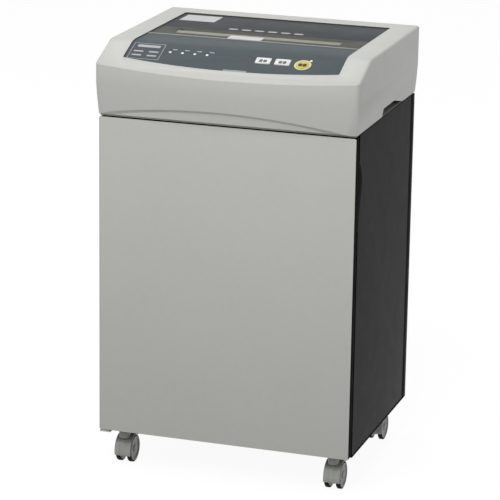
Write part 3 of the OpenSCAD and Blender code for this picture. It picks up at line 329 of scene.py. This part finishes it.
def settled(mesh: bpy.types.Mesh, angle: float, crease: Optional[Callable[[Vector], bool]] = None) -> None:
    """Shades a mesh smooth, with its edges over an angle kept sharp.

    Args:
        mesh: The mesh to shade.
        angle: Limit in degrees.
        crease: Test on an edge's middle; edges that pass it are sharp from CREASE_ANGLE.
    """
    mesh.polygons.foreach_set("use_smooth", [True] * len(mesh.polygons))
    form = bmesh.new()
    form.from_mesh(mesh)
    for edge in form.edges:
        turn = math.degrees(edge.calc_face_angle(0.0)) if len(edge.link_faces) == 2 else 180.0
        middle = (edge.verts[0].co + edge.verts[1].co) / 2
        edge.smooth = turn < (CREASE_ANGLE if crease and crease(middle) else angle)
    form.to_mesh(mesh)
    form.free()


def baked(source: bpy.types.Object) -> bpy.types.Mesh:
    """Returns the evaluated mesh of a helper object and removes the helper."""
    graph = bpy.context.evaluated_depsgraph_get()
    mesh = bpy.data.meshes.new_from_object(source.evaluated_get(graph))
    bpy.data.objects.remove(source)
    return mesh


def helper(name: str, mesh: bpy.types.Mesh) -> bpy.types.Object:
    """Links a helper object that only carries modifiers."""
    thing = bpy.data.objects.new(name, mesh)
    bpy.context.scene.collection.objects.link(thing)
    return thing


@dataclass
class Refined:
    """A copy of CAD nodes with merged faces, eased edges and smooth shading."""

    node: str
    finish: Finish
    body: str = ROOT
    ease: float = 0.4
    angle: float = 32.0
    flat: bool = True
    crease: Optional[Callable[[Vector], bool]] = None
    reshape: Optional[Callable[[Vector], Vector]] = None
    coplanar: float = 0.3
    bevel_over: float = 8.0
    bevel_steps: int = 2

    def mesh(self) -> bpy.types.Mesh:
        """Returns the eased mesh."""
        form = bmesh.new()
        form.from_mesh(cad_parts[self.node].data)
        bmesh.ops.remove_doubles(form, verts=form.verts, dist=2 * SAME_POINT)
        if self.flat:
            bmesh.ops.dissolve_limit(form, angle_limit=math.radians(self.coplanar), verts=form.verts,
                                     edges=form.edges)
        for vertex in form.verts if self.reshape else ():
            vertex.co = self.reshape(vertex.co)
        mesh = bpy.data.meshes.new(f"{self.node}_eased")
        form.to_mesh(mesh)
        form.free()
        thing = helper(mesh.name, mesh)
        if self.ease:
            bevel = thing.modifiers.new("ease", "BEVEL")
            bevel.width, bevel.segments = self.ease * MM, self.bevel_steps
            bevel.limit_method, bevel.angle_limit = "ANGLE", math.radians(self.angle + self.bevel_over)
            bevel.use_clamp_overlap = True
        done = baked(thing)
        settled(done, self.angle, self.crease)
        return done

    def build(self, parts: Sequence[tuple[Finish, FaceTest]] = ()) -> bpy.types.Object:
        """Makes the piece that stands for the node.

        Args:
            parts: Further finishes, each with a test on a face's centre and normal.

        Returns:
            The piece.
        """
        mesh = self.mesh()
        mesh.materials.clear()
        mesh.materials.append(self.finish.material())
        for index, (finish, test) in enumerate(parts, 1):
            mesh.materials.append(finish.material())
            for face in mesh.polygons:
                if test(face.center, face.normal):
                    face.material_index = index
        return shown(f"{self.node}_finished", mesh, self.finish, self.body, [self.node])


def dress(node: str, finish: Finish) -> None:
    """Gives a CAD node that stays as it is its material."""
    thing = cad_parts[node]
    thing.data.materials.clear()
    thing.data.materials.append(finish.material())
    LOG.info("%s is shown as packed: %s", node, finish.name)


class Surface:
    """The upper surface of some CAD nodes, to lay flat pieces on."""

    sky_height: float = 2.0

    def __init__(self, *nodes: str) -> None:
        """Builds a search tree over the nodes' faces."""
        points: list[Vector] = []
        faces: list[tuple[int, ...]] = []
        for node in nodes:
            mesh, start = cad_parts[node].data, len(points)
            points += [v.co.copy() for v in mesh.vertices]
            faces += [tuple(start + i for i in face.vertices) for face in mesh.polygons]
        self.tree = BVHTree.FromPolygons(points, faces)

    def at(self, x: float, y: float) -> tuple[Vector, Vector]:
        """Returns the point and normal under a place given in millimetres."""
        place = STATIONS.at(x, y, 0)
        start = Vector((place.x, place.y, self.sky_height))
        hit, normal, _, _ = self.tree.ray_cast(start, Vector((0, 0, -1)))
        return hit, normal


# ---------- Geometry Nodes ----------
class Tree(Graph):
    """A Geometry Nodes tree with named inputs, which ends in Realize Instances and Set Material."""

    smooth_angle: float = 35.0

    def __init__(self, name: str, inputs: dict[str, tuple[str, object]]) -> None:
        """Makes the tree with its sockets.

        Args:
            name: Name of the tree.
            inputs: Kind and first value of each input, by name.
        """
        super().__init__(bpy.data.node_groups.new(name, "GeometryNodeTree"))
        side = self.tree.interface
        side.new_socket("Geometry", in_out="INPUT", socket_type="NodeSocketGeometry")
        for key, (kind, value) in inputs.items():
            socket = side.new_socket(key, in_out="INPUT", socket_type=f"NodeSocket{kind}")
            if value is not None:
                socket.default_value = value
        side.new_socket("Material", in_out="INPUT", socket_type="NodeSocketMaterial")
        side.new_socket("Geometry", in_out="OUTPUT", socket_type="NodeSocketGeometry")
        self.ports = self.tree.nodes.new("NodeGroupInput").outputs

    def close(self, geometry: bpy.types.NodeSocket) -> None:
        """Ends the tree with real geometry and its material."""
        real = self.add("GeometryNodeRealizeInstances", {0: geometry})
        done = self.add("GeometryNodeSetMaterial", {"Geometry": real.outputs[0],
                                                    "Material": self.ports["Material"]})
        self.add("NodeGroupOutput", {0: done.outputs[0]})

    def spots(self, instance: bpy.types.NodeSocket) -> bpy.types.NodeSocket:
        """Sets a copy on each point of the base, turned by the input of that name."""
        turn = self.add("FunctionNodeEulerToRotation", {0: self.ports["Turn"]})
        copies = self.add("GeometryNodeInstanceOnPoints", {
            "Points": self.ports["Geometry"], "Instance": instance, "Rotation": turn.outputs[0]})
        return copies.outputs[0]

    def run(self, base: bpy.types.Mesh, finish: Finish, **values: object) -> bpy.types.Mesh:
        """Evaluates the tree on a mesh.

        Args:
            base: Mesh that the tree reads.
            finish: Finish of the result.
            values: Values of the named inputs, with _ for a space.

        Returns:
            A plain mesh.
        """
        thing = helper("tree_carrier", base)
        modifier = thing.modifiers.new("tree", "NODES")
        modifier.node_group = self.tree
        values["Material"] = finish.material()
        names = {key.replace("_", " "): value for key, value in values.items()}
        for item in self.tree.interface.items_tree:
            if item.in_out == "INPUT" and item.name in names:
                modifier[item.identifier] = names[item.name]
        mesh = baked(thing)
        settled(mesh, self.smooth_angle)
        return mesh


def point_mesh(points: Sequence[Vector]) -> bpy.types.Mesh:
    """Returns a mesh of loose points."""
    mesh = bpy.data.meshes.new("points")
    mesh.from_pydata([tuple(p) for p in points], [], [])
    return mesh


@functools.lru_cache(maxsize=None)
def plate_tree() -> Tree:
    """Returns the tree that sets a thin plate with round corners on each point."""
    corner_steps = 5
    tree = Tree("plates_on_points", {
        "Width": ("Float", 0.01), "Height": ("Float", 0.01), "Thickness": ("Float", 0.001),
        "Corner": ("Float", 0.001), "Turn": ("Vector", (0.0, 0.0, 0.0))})
    port = tree.ports
    outline = tree.add("GeometryNodeCurvePrimitiveQuadrilateral", {"Width": port["Width"],
                                                                   "Height": port["Height"]})
    corners = tree.add("GeometryNodeFilletCurve", {"Curve": outline.outputs[0], "Radius": port["Corner"],
                                                   "Count": corner_steps}, mode="POLY")
    face = tree.add("GeometryNodeFillCurve", {0: corners.outputs[0]}, mode="NGONS")
    up = tree.add("ShaderNodeCombineXYZ", {2: port["Thickness"]})
    solid = tree.add("GeometryNodeExtrudeMesh", {"Mesh": face.outputs[0], "Offset": up.outputs[0],
                                                 "Offset Scale": 1.0, "Individual": False})
    under = tree.add("GeometryNodeFlipFaces", {0: face.outputs[0]})
    whole = tree.add("GeometryNodeJoinGeometry", {0: solid.outputs[0]})
    tree.tree.links.new(under.outputs[0], whole.inputs[0])
    closed = tree.add("GeometryNodeMergeByDistance", {"Geometry": whole.outputs[0], "Distance": SAME_POINT})
    tree.close(tree.spots(closed.outputs[0]))
    return tree


@dataclass(frozen=True)
class CrossHead:
    """Proportions of a screw head with a cross recess, in parts of its radius or height."""

    corners: int = 28
    rings: int = 2
    crown: float = 0.82
    bar_length: float = 1.15
    bar_width: float = 0.24
    bar_height: float = 2.0
    bar_lift: float = 1.35


@functools.lru_cache(maxsize=None)
def screw_tree() -> Tree:
    """Returns the tree that sets a screw head with a cross recess on each point."""
    shape = CrossHead()
    tree = Tree("screws_on_points", {"Radius": ("Float", 0.004), "Height": ("Float", 0.0015),
                                     "Turn": ("Vector", (0.0, 0.0, 0.0))})
    port = tree.ports
    crown = tree.math("MULTIPLY", port["Radius"], shape.crown)
    head = tree.add("GeometryNodeMeshCone", {
        "Vertices": shape.corners, "Side Segments": shape.rings, "Radius Bottom": port["Radius"],
        "Radius Top": crown, "Depth": port["Height"]})
    long_side = tree.math("MULTIPLY", port["Radius"], shape.bar_length)
    short_side = tree.math("MULTIPLY", port["Radius"], shape.bar_width)
    deep = tree.math("MULTIPLY", port["Height"], shape.bar_height)
    bars = []
    for sizes in ((long_side, short_side), (short_side, long_side)):
        size = tree.add("ShaderNodeCombineXYZ", {0: sizes[0], 1: sizes[1], 2: deep})
        bar = tree.add("GeometryNodeMeshCube", {"Size": size.outputs[0]})
        lift = tree.add("ShaderNodeCombineXYZ", {2: tree.math("MULTIPLY", port["Height"], shape.bar_lift)})
        bars.append(tree.add("GeometryNodeTransform", {"Geometry": bar.outputs[0],
                                                       "Translation": lift.outputs[0]}))
    cut = tree.add("GeometryNodeMeshBoolean", {"Mesh 1": head.outputs[0], "Mesh 2": bars[0].outputs[0]},
                   operation="DIFFERENCE", solver="EXACT")
    tree.tree.links.new(bars[1].outputs[0], cut.inputs["Mesh 2"])
    tree.close(tree.spots(cut.outputs[0]))
    return tree


@dataclass
class Plates:
    """Equal thin plates with round corners, each on its point."""

    name: str
    finish: Finish
    size: tuple[float, float, float]
    points: Sequence[Vector]
    corner: float = 0.5
    turn: tuple[float, float, float] = (0.0, 0.0, 0.0)
    body: str = ROOT

    def build(self) -> bpy.types.Object:
        """Makes the plates as one piece."""
        width, height, thick = self.size
        mesh = plate_tree().run(point_mesh(self.points), self.finish, Width=width * MM, Height=height * MM,
                                Thickness=thick * MM, Corner=self.corner * MM,
                                Turn=tuple(math.radians(angle) for angle in self.turn))
        return shown(self.name, mesh, self.finish, self.body)


# ---------- Cabinet ----------
@dataclass
class Cabinet:
    """The boards of the cabinet with their screws and small fittings."""

    boards: tuple[str, ...] = ("base_board", "side_panel_left", "side_panel_right", "front_rail")
    band_depth: float = 0.6
    band_rear: float = 13.0
    band_foot: float = 5.0
    band_film: float = 0.15
    band_corner: float = 0.3
    screw_rise: float = 1.2
    screw_radius: float = 4.0
    rim_depth: float = 0.01
    rim_reach: float = 3.0

    def build(self) -> None:
        """Makes the boards, the back and the fittings."""
        for node in self.boards:
            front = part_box(node)[0].y + self.band_depth * MM
            Refined(node, CHARCOAL).build([(EDGE_BLACK, lambda c, n, f=front: n.y < -FACING and c.y < f)])
        Refined("back_panel", BACK_BLACK).build()
        # The plate's front edge in the seam and its top in the grips take lighter finishes as painted light.
        Refined("chassis_plate", ZINC, ease=0.2).build(
            [(BLACK, lambda c, n: abs(n.z) < LEANING), (SEAM_EDGE, lambda c, n: n.y < -FACING),
             (GRIP, lambda c, n: n.z > LEANING)])
        self.screws()
        self.bands()
        for node in ("debris_chute", "bin_guides", "magnet_catch", "door_switch"):
            Refined(node, BLACK, ease=0.3).build()
        Refined("lower_pivot_bracket", DOOR_GREY, ease=0.2).build()
        Refined("upper_pivot_pin", BLACK, ease=0.2).build()
        Refined("caster_sockets", ZINC, ease=0.2).build()

    def bands(self) -> None:
        """Makes the black bands along the rear and lower edges of both side panels, as painted shade at those
        edges.
        """
        for node, side in (("side_panel_left", -1), ("side_panel_right", 1)):
            low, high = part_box(node)
            face = (low if side < 0 else high).x - side * FILM_SUNK * MM
            panel_height, panel_length = (high.z - low.z) / MM, (high.y - low.y) / MM
            middle, level = (low.y + high.y) / 2, (low.z + high.z) / 2
            rear = Vector((face, high.y - self.band_rear / 2 * MM, level))
            foot = Vector((face, middle, low.z + self.band_foot / 2 * MM))
            for name, spot, size in ((f"{node}_rear_shade_band", rear, (panel_height, self.band_rear)),
                                     (f"{node}_foot_shade_band", foot, (self.band_foot, panel_length))):
                Plates(name, EDGE_BLACK, (*size, self.band_film), [spot], self.band_corner,
                       (0, side * 90, 0)).build()

    def screws(self) -> None:
        """Makes the cross-recess heads of the rear screws over their shanks."""
        dress("cabinet_screws", STEEL)
        points = [v.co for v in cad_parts["cabinet_screws"].data.vertices]
        rear = max(p.y for p in points)
        rims: list[list[Vector]] = []
        for point in points:
            if point.y < rear - self.rim_depth * MM:
                continue
            near = [rim for rim in rims if (rim[0] - point).length < self.rim_reach * self.screw_radius * MM]
            if near:
                near[0].append(point)
            else:
                rims.append([point])
        sunk = Vector((0, self.screw_rise / 2 * MM, 0))
        heads = [sum(rim, Vector()) / len(rim) - sunk for rim in rims]
        mesh = screw_tree().run(point_mesh(heads), STEEL, Radius=self.screw_radius * MM,
                                Height=self.screw_rise * MM, Turn=(-math.pi / 2, 0, 0))
        shown("rear_screw_heads", mesh, STEEL, ROOT)


# ---------- Door ----------
@dataclass
class Door:
    """The door with its banded edges, strike plate and switch tab."""

    ease: float = 0.9
    angle: float = 40.0
    end_facing: float = 0.8

    def build(self) -> None:
        """Makes the door and its fittings."""
        Refined("door_panel", DOOR_GREY, "door", ease=self.ease, angle=self.angle).build(
            [(EDGE_BLACK, lambda c, n: abs(n.x) > LEANING or abs(n.z) > self.end_facing)])
        Refined("door_fittings", STEEL, "door", ease=0.2).build()


# ---------- Waste bin ----------
@dataclass
class WasteBin:
    """The waste bin with the ribs of its front wall, which lies a little behind the rim."""

    rib_count: int = 7
    rib_pitch: float = 44.0
    rib_size: tuple[float, float, float] = (9.0, 330.0, 0.9)
    rib_corner: float = 4.0
    wall_set_back: float = 1.0
    rib_drop: float = 30.0

    def build(self) -> None:
        """Makes the bin and its ribs."""
        Refined("waste_bin", BIN, "bin", ease=0.5).build()
        low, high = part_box("waste_bin")
        wall = low.y + self.wall_set_back * MM
        middle = (low.z + high.z) / 2 - self.rib_drop * MM
        first = -(self.rib_count - 1) / 2 * self.rib_pitch
        spots = [Vector(((first + i * self.rib_pitch) * MM, wall, middle)) for i in range(self.rib_count)]
        Plates("bin_ribs", BIN, self.rib_size, spots, self.rib_corner, (90, 0, 0), "bin").build()


# ---------- Head ----------
@dataclass
class CreaseLine:
    """The thin shaded line under the crease of the lens-shaped facet.

    Its arc is a little narrower than the crease's. It meets the crease in the middle and lies
    up to about 1 mm under it towards the ends.
    """

    seam: float
    arc_middle: float = -12.0
    arc_half: float = 227.5
    arc_rise: float = 25.0
    facet_lean: float = 0.7
    end: float = 8.0
    drop: float = 5.6
    lowest: float = 0.4
    film: float = 0.12
    steps: int = 48

    def point(self, across: float, rise: float) -> Vector:
        """Returns the point just off the facet.

        Args:
            across: Distance from the arc's middle in millimetres.
            rise: Height over the seam in millimetres.
        """
        outward = Vector((0, -1, -self.facet_lean)).normalized()
        base = Vector(((self.arc_middle + across) * MM, STATIONS.door_face - self.facet_lean * rise * MM,
                       self.seam + rise * MM))
        return base + outward * self.film * MM

    def strip(self) -> bpy.types.Mesh:
        """Returns the open strip under an arc of a circle."""
        radius = (self.arc_half ** 2 + self.arc_rise ** 2) / (2 * self.arc_rise)
        half = self.arc_half - self.end
        form = bmesh.new()
        rows = []
        for step in range(self.steps + 1):
            across = half * (2 * step / self.steps - 1)
            top = self.arc_rise - radius + math.sqrt(radius ** 2 - across ** 2)
            low = max(top - self.drop, self.lowest)
            rows.append([form.verts.new(self.point(across, rise)) for rise in (top, low)])
        for one, two in zip(rows, rows[1:]):
            form.faces.new((one[0], one[1], two[1], two[0]))
        mesh = bpy.data.meshes.new("crease_line_strip")
        form.to_mesh(mesh)
        form.free()
        return mesh

    def build(self) -> None:
        """Makes the line as a closed film, half of it in the facet."""
        thing = helper("crease_line_strip", self.strip())
        solid = thing.modifiers.new("film", "SOLIDIFY")
        solid.thickness, solid.offset = 2 * self.film * MM, -1
        shown("crease_line", baked(thing), CREASE, ROOT)


@dataclass
class Head:
    """The large head moulding with its screws and the cord gland."""

    ease: float = 0.7
    angle: float = 30.0
    seam: float = field(default_factory=lambda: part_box("head_cover")[0].z)
    margin: float = 0.8
    crease_top: float = 28.0
    crease_bottom: float = 0.5
    crease_depth: float = 8.0
    facet_normal: tuple[float, float] = (-0.7, -0.45)
    grip_rise: float = 24.0
    grip_in: float = 190.0
    grip_out: float = 234.0
    grip_front: float = 155.0
    grip_rear: float = 306.0
    grip_upward: float = 0.9
    panel_rise: float = 80.0
    panel_wall: float = 0.3
    panel_rear: Vector = field(default_factory=lambda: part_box("rear_cover")[1])
    panel_front: float = field(default_factory=lambda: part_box("control_fascia")[0].y)

    def in_recess(self, middle: Vector, normal: Vector) -> bool:
        """Tells whether a face is a wall of the recess that holds the control panel; these walls are painted
        black as painted shade.
        """
        margin = self.margin * MM
        return (abs(normal.z) < self.panel_wall and abs(middle.x) < self.panel_rear.x + margin
                and self.panel_front - margin < middle.y < self.panel_rear.y + margin
                and middle.z > self.seam + self.panel_rise * MM)

    def in_grip(self, middle: Vector, normal: Vector) -> bool:
        """Tells whether a face lines one of the hand grips at the sides; these faces take a lighter finish as
        painted light.
        """
        return (middle.z < self.seam + self.grip_rise * MM
                and self.grip_in * MM < abs(middle.x) < self.grip_out * MM
                and self.grip_front * MM < middle.y - STATIONS.door_face < self.grip_rear * MM
                and normal.z < self.grip_upward)

    def in_crease(self, middle: Vector) -> bool:
        """Tells whether a point lies where the lens-shaped crease runs."""
        return (self.seam + self.crease_bottom * MM < middle.z < self.seam + self.crease_top * MM
                and middle.y < STATIONS.door_face + self.crease_depth * MM)

    def in_facet(self, middle: Vector, normal: Vector) -> bool:
        """Tells whether a face is the lens-shaped facet under the crease, which takes a lighter finish as
        painted light.
        """
        steep, gentle = self.facet_normal
        return (self.in_crease(middle + Vector((0, 0, self.crease_bottom * MM)))
                and normal.y < -FACING and steep < normal.z < gentle)

    def build(self) -> None:
        """Makes the moulding and dresses what it carries."""
        Refined("head_cover", HEAD_GREY, ease=self.ease, angle=self.angle, crease=self.in_crease).build(
            [(BLACK, self.in_recess), (GRIP, self.in_grip), (FACET, self.in_facet)])
        CreaseLine(self.seam).build()
        dress("head_screws", STEEL)
        Refined("cord_gland", BLACK, ease=0.4).build()


# ---------- Control panel ----------
FILM = 0.15  # thickness of a film in millimetres
SLOPE = 22.8  # slope of the fascia in degrees


@dataclass(frozen=True)
class Mark:
    """Equal flat labels or printed marks that lie on one node, in millimetres."""

    name: str
    node: str
    finish: Finish
    places: tuple[tuple[float, float], ...]
    size: tuple[float, float]
    corner: float
    slope: float = 0.0
    thick: float = FILM

    def build(self) -> None:
        """Lays the marks on their node as one piece."""
        surface = Surface(self.node)
        spots = []
        for x, y in self.places:
            point, normal = surface.at(x, y)
            spots.append(point - normal * FILM_SUNK * MM)
        Plates(self.name, self.finish, (*self.size, self.thick), spots, self.corner,
               (self.slope, 0, 0)).build()


def row(first: float, pitch: float, count: int, y: float) -> tuple[tuple[float, float], ...]:
    """Returns the places of a row of marks."""
    return tuple((first + pitch * i, y) for i in range(count))


@dataclass
class ControlPanel:
    """The recessed panel: fascia, throat, lip, rear cover, labels and printed marks."""

    bead: float = 3.2
    bead_under: float = 0.3
    labels: tuple[Mark, ...] = (
        Mark("slot_label", "feed_throat", SLOT_LABEL, ((-18, 156.8),), (62, 26.4), 1.5, thick=1.25),
        Mark("rear_label", "rear_cover", LABEL, ((-153, 304),), (67, 53), 1.5),
        Mark("front_tag", "control_fascia", TAG, ((12, 5),), (42, 5), 0.6, SLOPE))
    prints: tuple[Mark, ...] = (
        Mark("cover_marks", "rear_cover", PRINT, row(-66, 24.6, 6, 231), (18, 10), 4.9),
        Mark("box_sides", "control_fascia", PRINT, ((-190, 40), (-133, 40)), (0.9, 48), 0.4, SLOPE),
        Mark("box_ends", "control_fascia", PRINT, ((-161.5, 18), (-161.5, 62)), (57, 0.9), 0.4, SLOPE),
        Mark("box_bars", "control_fascia", PRINT, ((-176, 28), (-148, 28), (-176, 39), (-148, 39)),
             (18, 4), 1.6, SLOPE),
        Mark("box_title", "control_fascia", PRINT, ((-161.5, 54),), (42, 7), 2.0, SLOPE),
        Mark("lamp_marks", "control_fascia", PRINT, row(-112, 22.6, 4, 50), (9, 2.2), 1.0, SLOPE))

    def build(self) -> None:
        """Makes the panel's mouldings and what is printed on them."""
        Refined("control_fascia", FASCIA, ease=0.3).build()
        front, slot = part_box("feed_throat")[0].y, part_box("feed_lip")[1].y
        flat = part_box("rear_cover")[1].z - FILM * MM
        # The strip along the throat's front edge takes a painted highlight.
        Refined("feed_throat", THROAT, ease=0.3).build([
            (OLIVE, lambda c, n: c.y > slot and c.z < flat),
            (SEAM_PALE, lambda c, n: c.y < front + self.bead * MM and n.z > -self.bead_under)])
        Refined("feed_lip", LIP, ease=0.3).build()
        Refined("rear_cover", PANEL, ease=0.4).build()
        Refined("start_bezel", BEZEL, ease=0.25).build()
        Refined("indicator_lenses", LAMP, ease=0.3).build()
        dress("control_board", CIRCUIT)
        dress("paper_sensor", BLACK)
        for mark in self.labels + self.prints:
            mark.build()


# ---------- Buttons ----------
@dataclass(frozen=True)
class Button:
    """One push button with a plain sign of two round marks."""

    node: str
    body: str
    finish: Finish
    sign_finish: Finish = MARK
    sign_size: tuple[float, float] = (6.6, 8.4)
    sign_pitch: float = 7.6
    sign_film: float = 0.12
    sign_corner: float = 2.4
    sign_forward: float = 3.0
    ease: float = 0.8

    def cap(self) -> None:
        """Makes the cap."""
        Refined(self.node, self.finish, self.body, ease=self.ease).build()

    def sign(self) -> None:
        """Makes the sign on the cap."""
        low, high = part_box(self.node)
        x = (low.x + high.x) / 2 / MM
        y = ((low.y + high.y) / 2 - STATIONS.door_face) / MM - self.sign_forward
        hits = [Surface(self.node).at(x + side * self.sign_pitch / 2, y) for side in (-1, 1)]
        spots = [point - normal * FILM_SUNK * MM for point, normal in hits]
        Plates(f"{self.node}_sign", self.sign_finish, (*self.sign_size, self.sign_film), spots,
               self.sign_corner, (SLOPE, 0, 0), self.body).build()


@dataclass
class Buttons:
    """The three push buttons."""

    start: Button = Button("start_button", "start_key", YELLOW, YELLOW_MARK, (7.0, 9.0))
    stop: Button = Button("stop_button", "stop_key", KEY_WHITE)
    reverse: Button = Button("reverse_button", "reverse_key", KEY_WHITE)

    def build(self) -> None:
        """Makes the caps, then their signs."""
        for button in (self.start, self.stop, self.reverse):
            button.cap()
        for button in (self.stop, self.reverse, self.start):
            button.sign()


# ---------- Mechanism ----------
@dataclass
class Mechanism:
    """The cutting block, its gears, the motor and the electric parts."""

    plan: tuple[tuple[str, Finish], ...] = (
        ("side_frame_left", ZINC), ("side_frame_right", ZINC), ("tie_rods", STEEL), ("shaft_bushes", BRONZE),
        ("cutter_front", HARDENED), ("cutter_rear", HARDENED), ("stripper_comb_front", ZINC),
        ("stripper_comb_rear", ZINC), ("sync_gear_front", HARDENED), ("sync_gear_rear", HARDENED),
        ("drive_gear", HARDENED), ("idler_axle", STEEL), ("intermediate_gear", NYLON), ("gear_plate", ZINC),
        ("motor_housing", MOTOR), ("motor_stator", CORE), ("motor_rotor", STEEL), ("motor_saddle", ZINC),
        ("capacitor", CAN), ("capacitor_clamp", ZINC), ("power_board", CIRCUIT))

    def build(self) -> None:
        """Dresses the inner parts."""
        for node, finish in self.plan:
            dress(node, finish)


# ---------- Casters ----------
@dataclass
class Casters:
    """Four twin-wheel casters."""

    corners: tuple[str, ...] = ("fl", "fr", "rl", "rr")
    tread_radius: float = 21.0
    web: float = 4.0
    web_drawn: float = 6.0
    squeeze: float = 0.5
    roof: float = 8.0
    hood_ease: float = 0.35
    wheel_ease: float = 0.3
    angle: float = 40.0

    def narrowed(self, middle: float, top: float) -> Callable[[Vector], Vector]:
        """Returns the change that brings both lobes of a caster closer to its web.

        Args:
            middle: Place of the web along X, in metres.
            top: Height in metres over which the round stem stays as it is.

        Returns:
            A function that moves one point.
        """
        web, drawn = self.web * MM, self.web_drawn * MM

        def move(point: Vector) -> Vector:
            """Moves one point towards the web."""
            reach = abs(point.x - middle)
            if point.z > top:
                return point
            new = drawn + (reach - web) * self.squeeze if reach > web else reach * drawn / web
            return Vector((middle + math.copysign(new, point.x - middle), point.y, point.z))

        return move

    def beyond_hub(self, axis: tuple[float, float]) -> FaceTest:
        """Returns the test for faces of the tread round an axis, given by its Y and Z in metres."""
        def outside(middle: Vector, normal: Vector) -> bool:
            """Tells whether a face lies further out than the hub."""
            return math.hypot(middle.y - axis[0], middle.z - axis[1]) > self.tread_radius * MM

        return outside

    def build(self) -> None:
        """Makes the hoods and the wheels."""
        for corner in self.corners:
            node = f"caster_{corner}_wheels"
            low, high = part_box(node)
            change = self.narrowed((low.x + high.x) / 2, high.z + self.roof * MM)
            Refined(f"caster_{corner}_hood", HOOD, f"caster_{corner}", ease=self.hood_ease, angle=self.angle,
                    reshape=change).build()
            axis = ((low.y + high.y) / 2, (low.z + high.z) / 2)
            Refined(node, HUB, f"wheels_{corner}", ease=self.wheel_ease, angle=self.angle,
                    reshape=change).build([(TREAD, self.beyond_hub(axis))])


# ---------- Stage ----------
@dataclass
class Lamp:
    """One soft area lamp that looks at the middle of the object, in metres and watts."""

    name: str
    place: tuple[float, float, float]
    power: float
    size: float
    aim: tuple[float, float, float] = (0.0, 0.0, 0.4)

    def build(self) -> None:
        """Adds the lamp."""
        data = bpy.data.lights.new(self.name, "AREA")
        data.energy, data.size = self.power, self.size
        thing = bpy.data.objects.new(self.name, data)
        bpy.context.scene.collection.objects.link(thing)
        thing.location = self.place
        line = Vector(self.aim) - Vector(self.place)
        thing.rotation_euler = line.to_track_quat("-Z", "Y").to_euler()


@dataclass
class Stage:
    """Camera, lamps, floor and surroundings.

    The camera's place and its lens are in millimetres, the lamps, the floor and the reach in metres.
    """

    camera_place: tuple[float, float, float] = (1432.7, -4256.7, 1640.0)
    focal: float = 192.5
    yaw: float = 18.035
    pitch: float = 15.871
    roll: float = 0.874
    sensor: float = 36.0
    camera_reach: float = 100.0
    floor_size: float = 40.0
    sky: float = 0.37
    floor_shown: float = 0.94
    floor_bounce: float = 0.29
    floor_tone: float = 0.1
    lamps: list[Lamp] = field(default_factory=lambda: [
        Lamp("key_lamp", (0.05, -3.1, 3.8), 98.0, 2.2),
        Lamp("back_lamp", (-1.13, 1.52, 3.95), 20.0, 1.5)])

    def build(self) -> None:
        """Makes everything that isn't part of the object."""
        scene = bpy.context.scene
        scene.view_settings.view_transform = "Standard"
        data = bpy.data.cameras.new("camera")
        data.lens, data.sensor_width, data.clip_end = self.focal, self.sensor, self.camera_reach
        camera = bpy.data.objects.new("camera", data)
        scene.collection.objects.link(camera)
        turn = (Matrix.Rotation(math.radians(self.yaw), 4, "Z")
                @ Matrix.Rotation(math.radians(90 - self.pitch), 4, "X")
                @ Matrix.Rotation(math.radians(self.roll), 4, "Z"))
        camera.matrix_world = Matrix.Translation(STATIONS.at(*self.camera_place)) @ turn
        scene.camera = camera
        for lamp in self.lamps:
            lamp.build()
        self.surroundings()
        self.floor()

    @staticmethod
    def seen(graph: Graph) -> bpy.types.NodeSocket:
        """Returns 1 for camera, glossy and transmission rays, else 0."""
        path = graph.add("ShaderNodeLightPath").outputs
        first = graph.math("MAXIMUM", path["Is Camera Ray"], path["Is Glossy Ray"])
        return graph.math("MAXIMUM", first, path["Is Transmission Ray"])

    def surroundings(self) -> None:
        """Makes the plain white world."""
        world = bpy.data.worlds.new("surroundings")
        bpy.context.scene.world = world
        world.use_nodes = True
        world.node_tree.nodes.clear()
        graph = Graph(world.node_tree)
        strength = graph.add("ShaderNodeMapRange", {0: self.seen(graph), 3: self.sky, 4: 1.0}).outputs[0]
        light = graph.add("ShaderNodeBackground", {"Color": (1, 1, 1, 1), "Strength": strength})
        graph.add("ShaderNodeOutputWorld", {0: light.outputs[0]})

    def floor(self) -> None:
        """Makes the white floor, which keeps a soft shadow."""
        half = self.floor_size / 2
        mesh = bpy.data.meshes.new("floor")
        corners = [(-half, -half, 0), (half, -half, 0), (half, half, 0), (-half, half, 0)]
        mesh.from_pydata(corners, [], [(0, 1, 2, 3)])
        thing = helper("floor", mesh)
        material = bpy.data.materials.new("floor_paper")
        material.use_nodes = True
        material.node_tree.nodes.clear()
        graph = Graph(material.node_tree)
        matt = graph.add("ShaderNodeBsdfDiffuse", {"Color": (*[self.floor_tone] * 3, 1)})
        strength = graph.add("ShaderNodeMapRange", {0: self.seen(graph), 3: self.floor_bounce,
                                                    4: self.floor_shown}).outputs[0]
        shine = graph.add("ShaderNodeEmission", {"Color": (1, 1, 1, 1), "Strength": strength})
        both = graph.add("ShaderNodeAddShader", {0: matt.outputs[0], 1: shine.outputs[0]})
        graph.add("ShaderNodeOutputMaterial", {0: both.outputs[0]})
        mesh.materials.append(material)


def main() -> None:
    """Builds the sub-assemblies in order."""
    logging.basicConfig(level=logging.INFO, format="%(name)s: %(message)s")
    Stage().build()
    for assembly in (Cabinet(), Door(), WasteBin(), Head(), ControlPanel(), Buttons(), Mechanism(),
                     Casters()):
        LOG.info("%s", type(assembly).__name__)
        assembly.build()


if __name__ == "__main__":
    main()
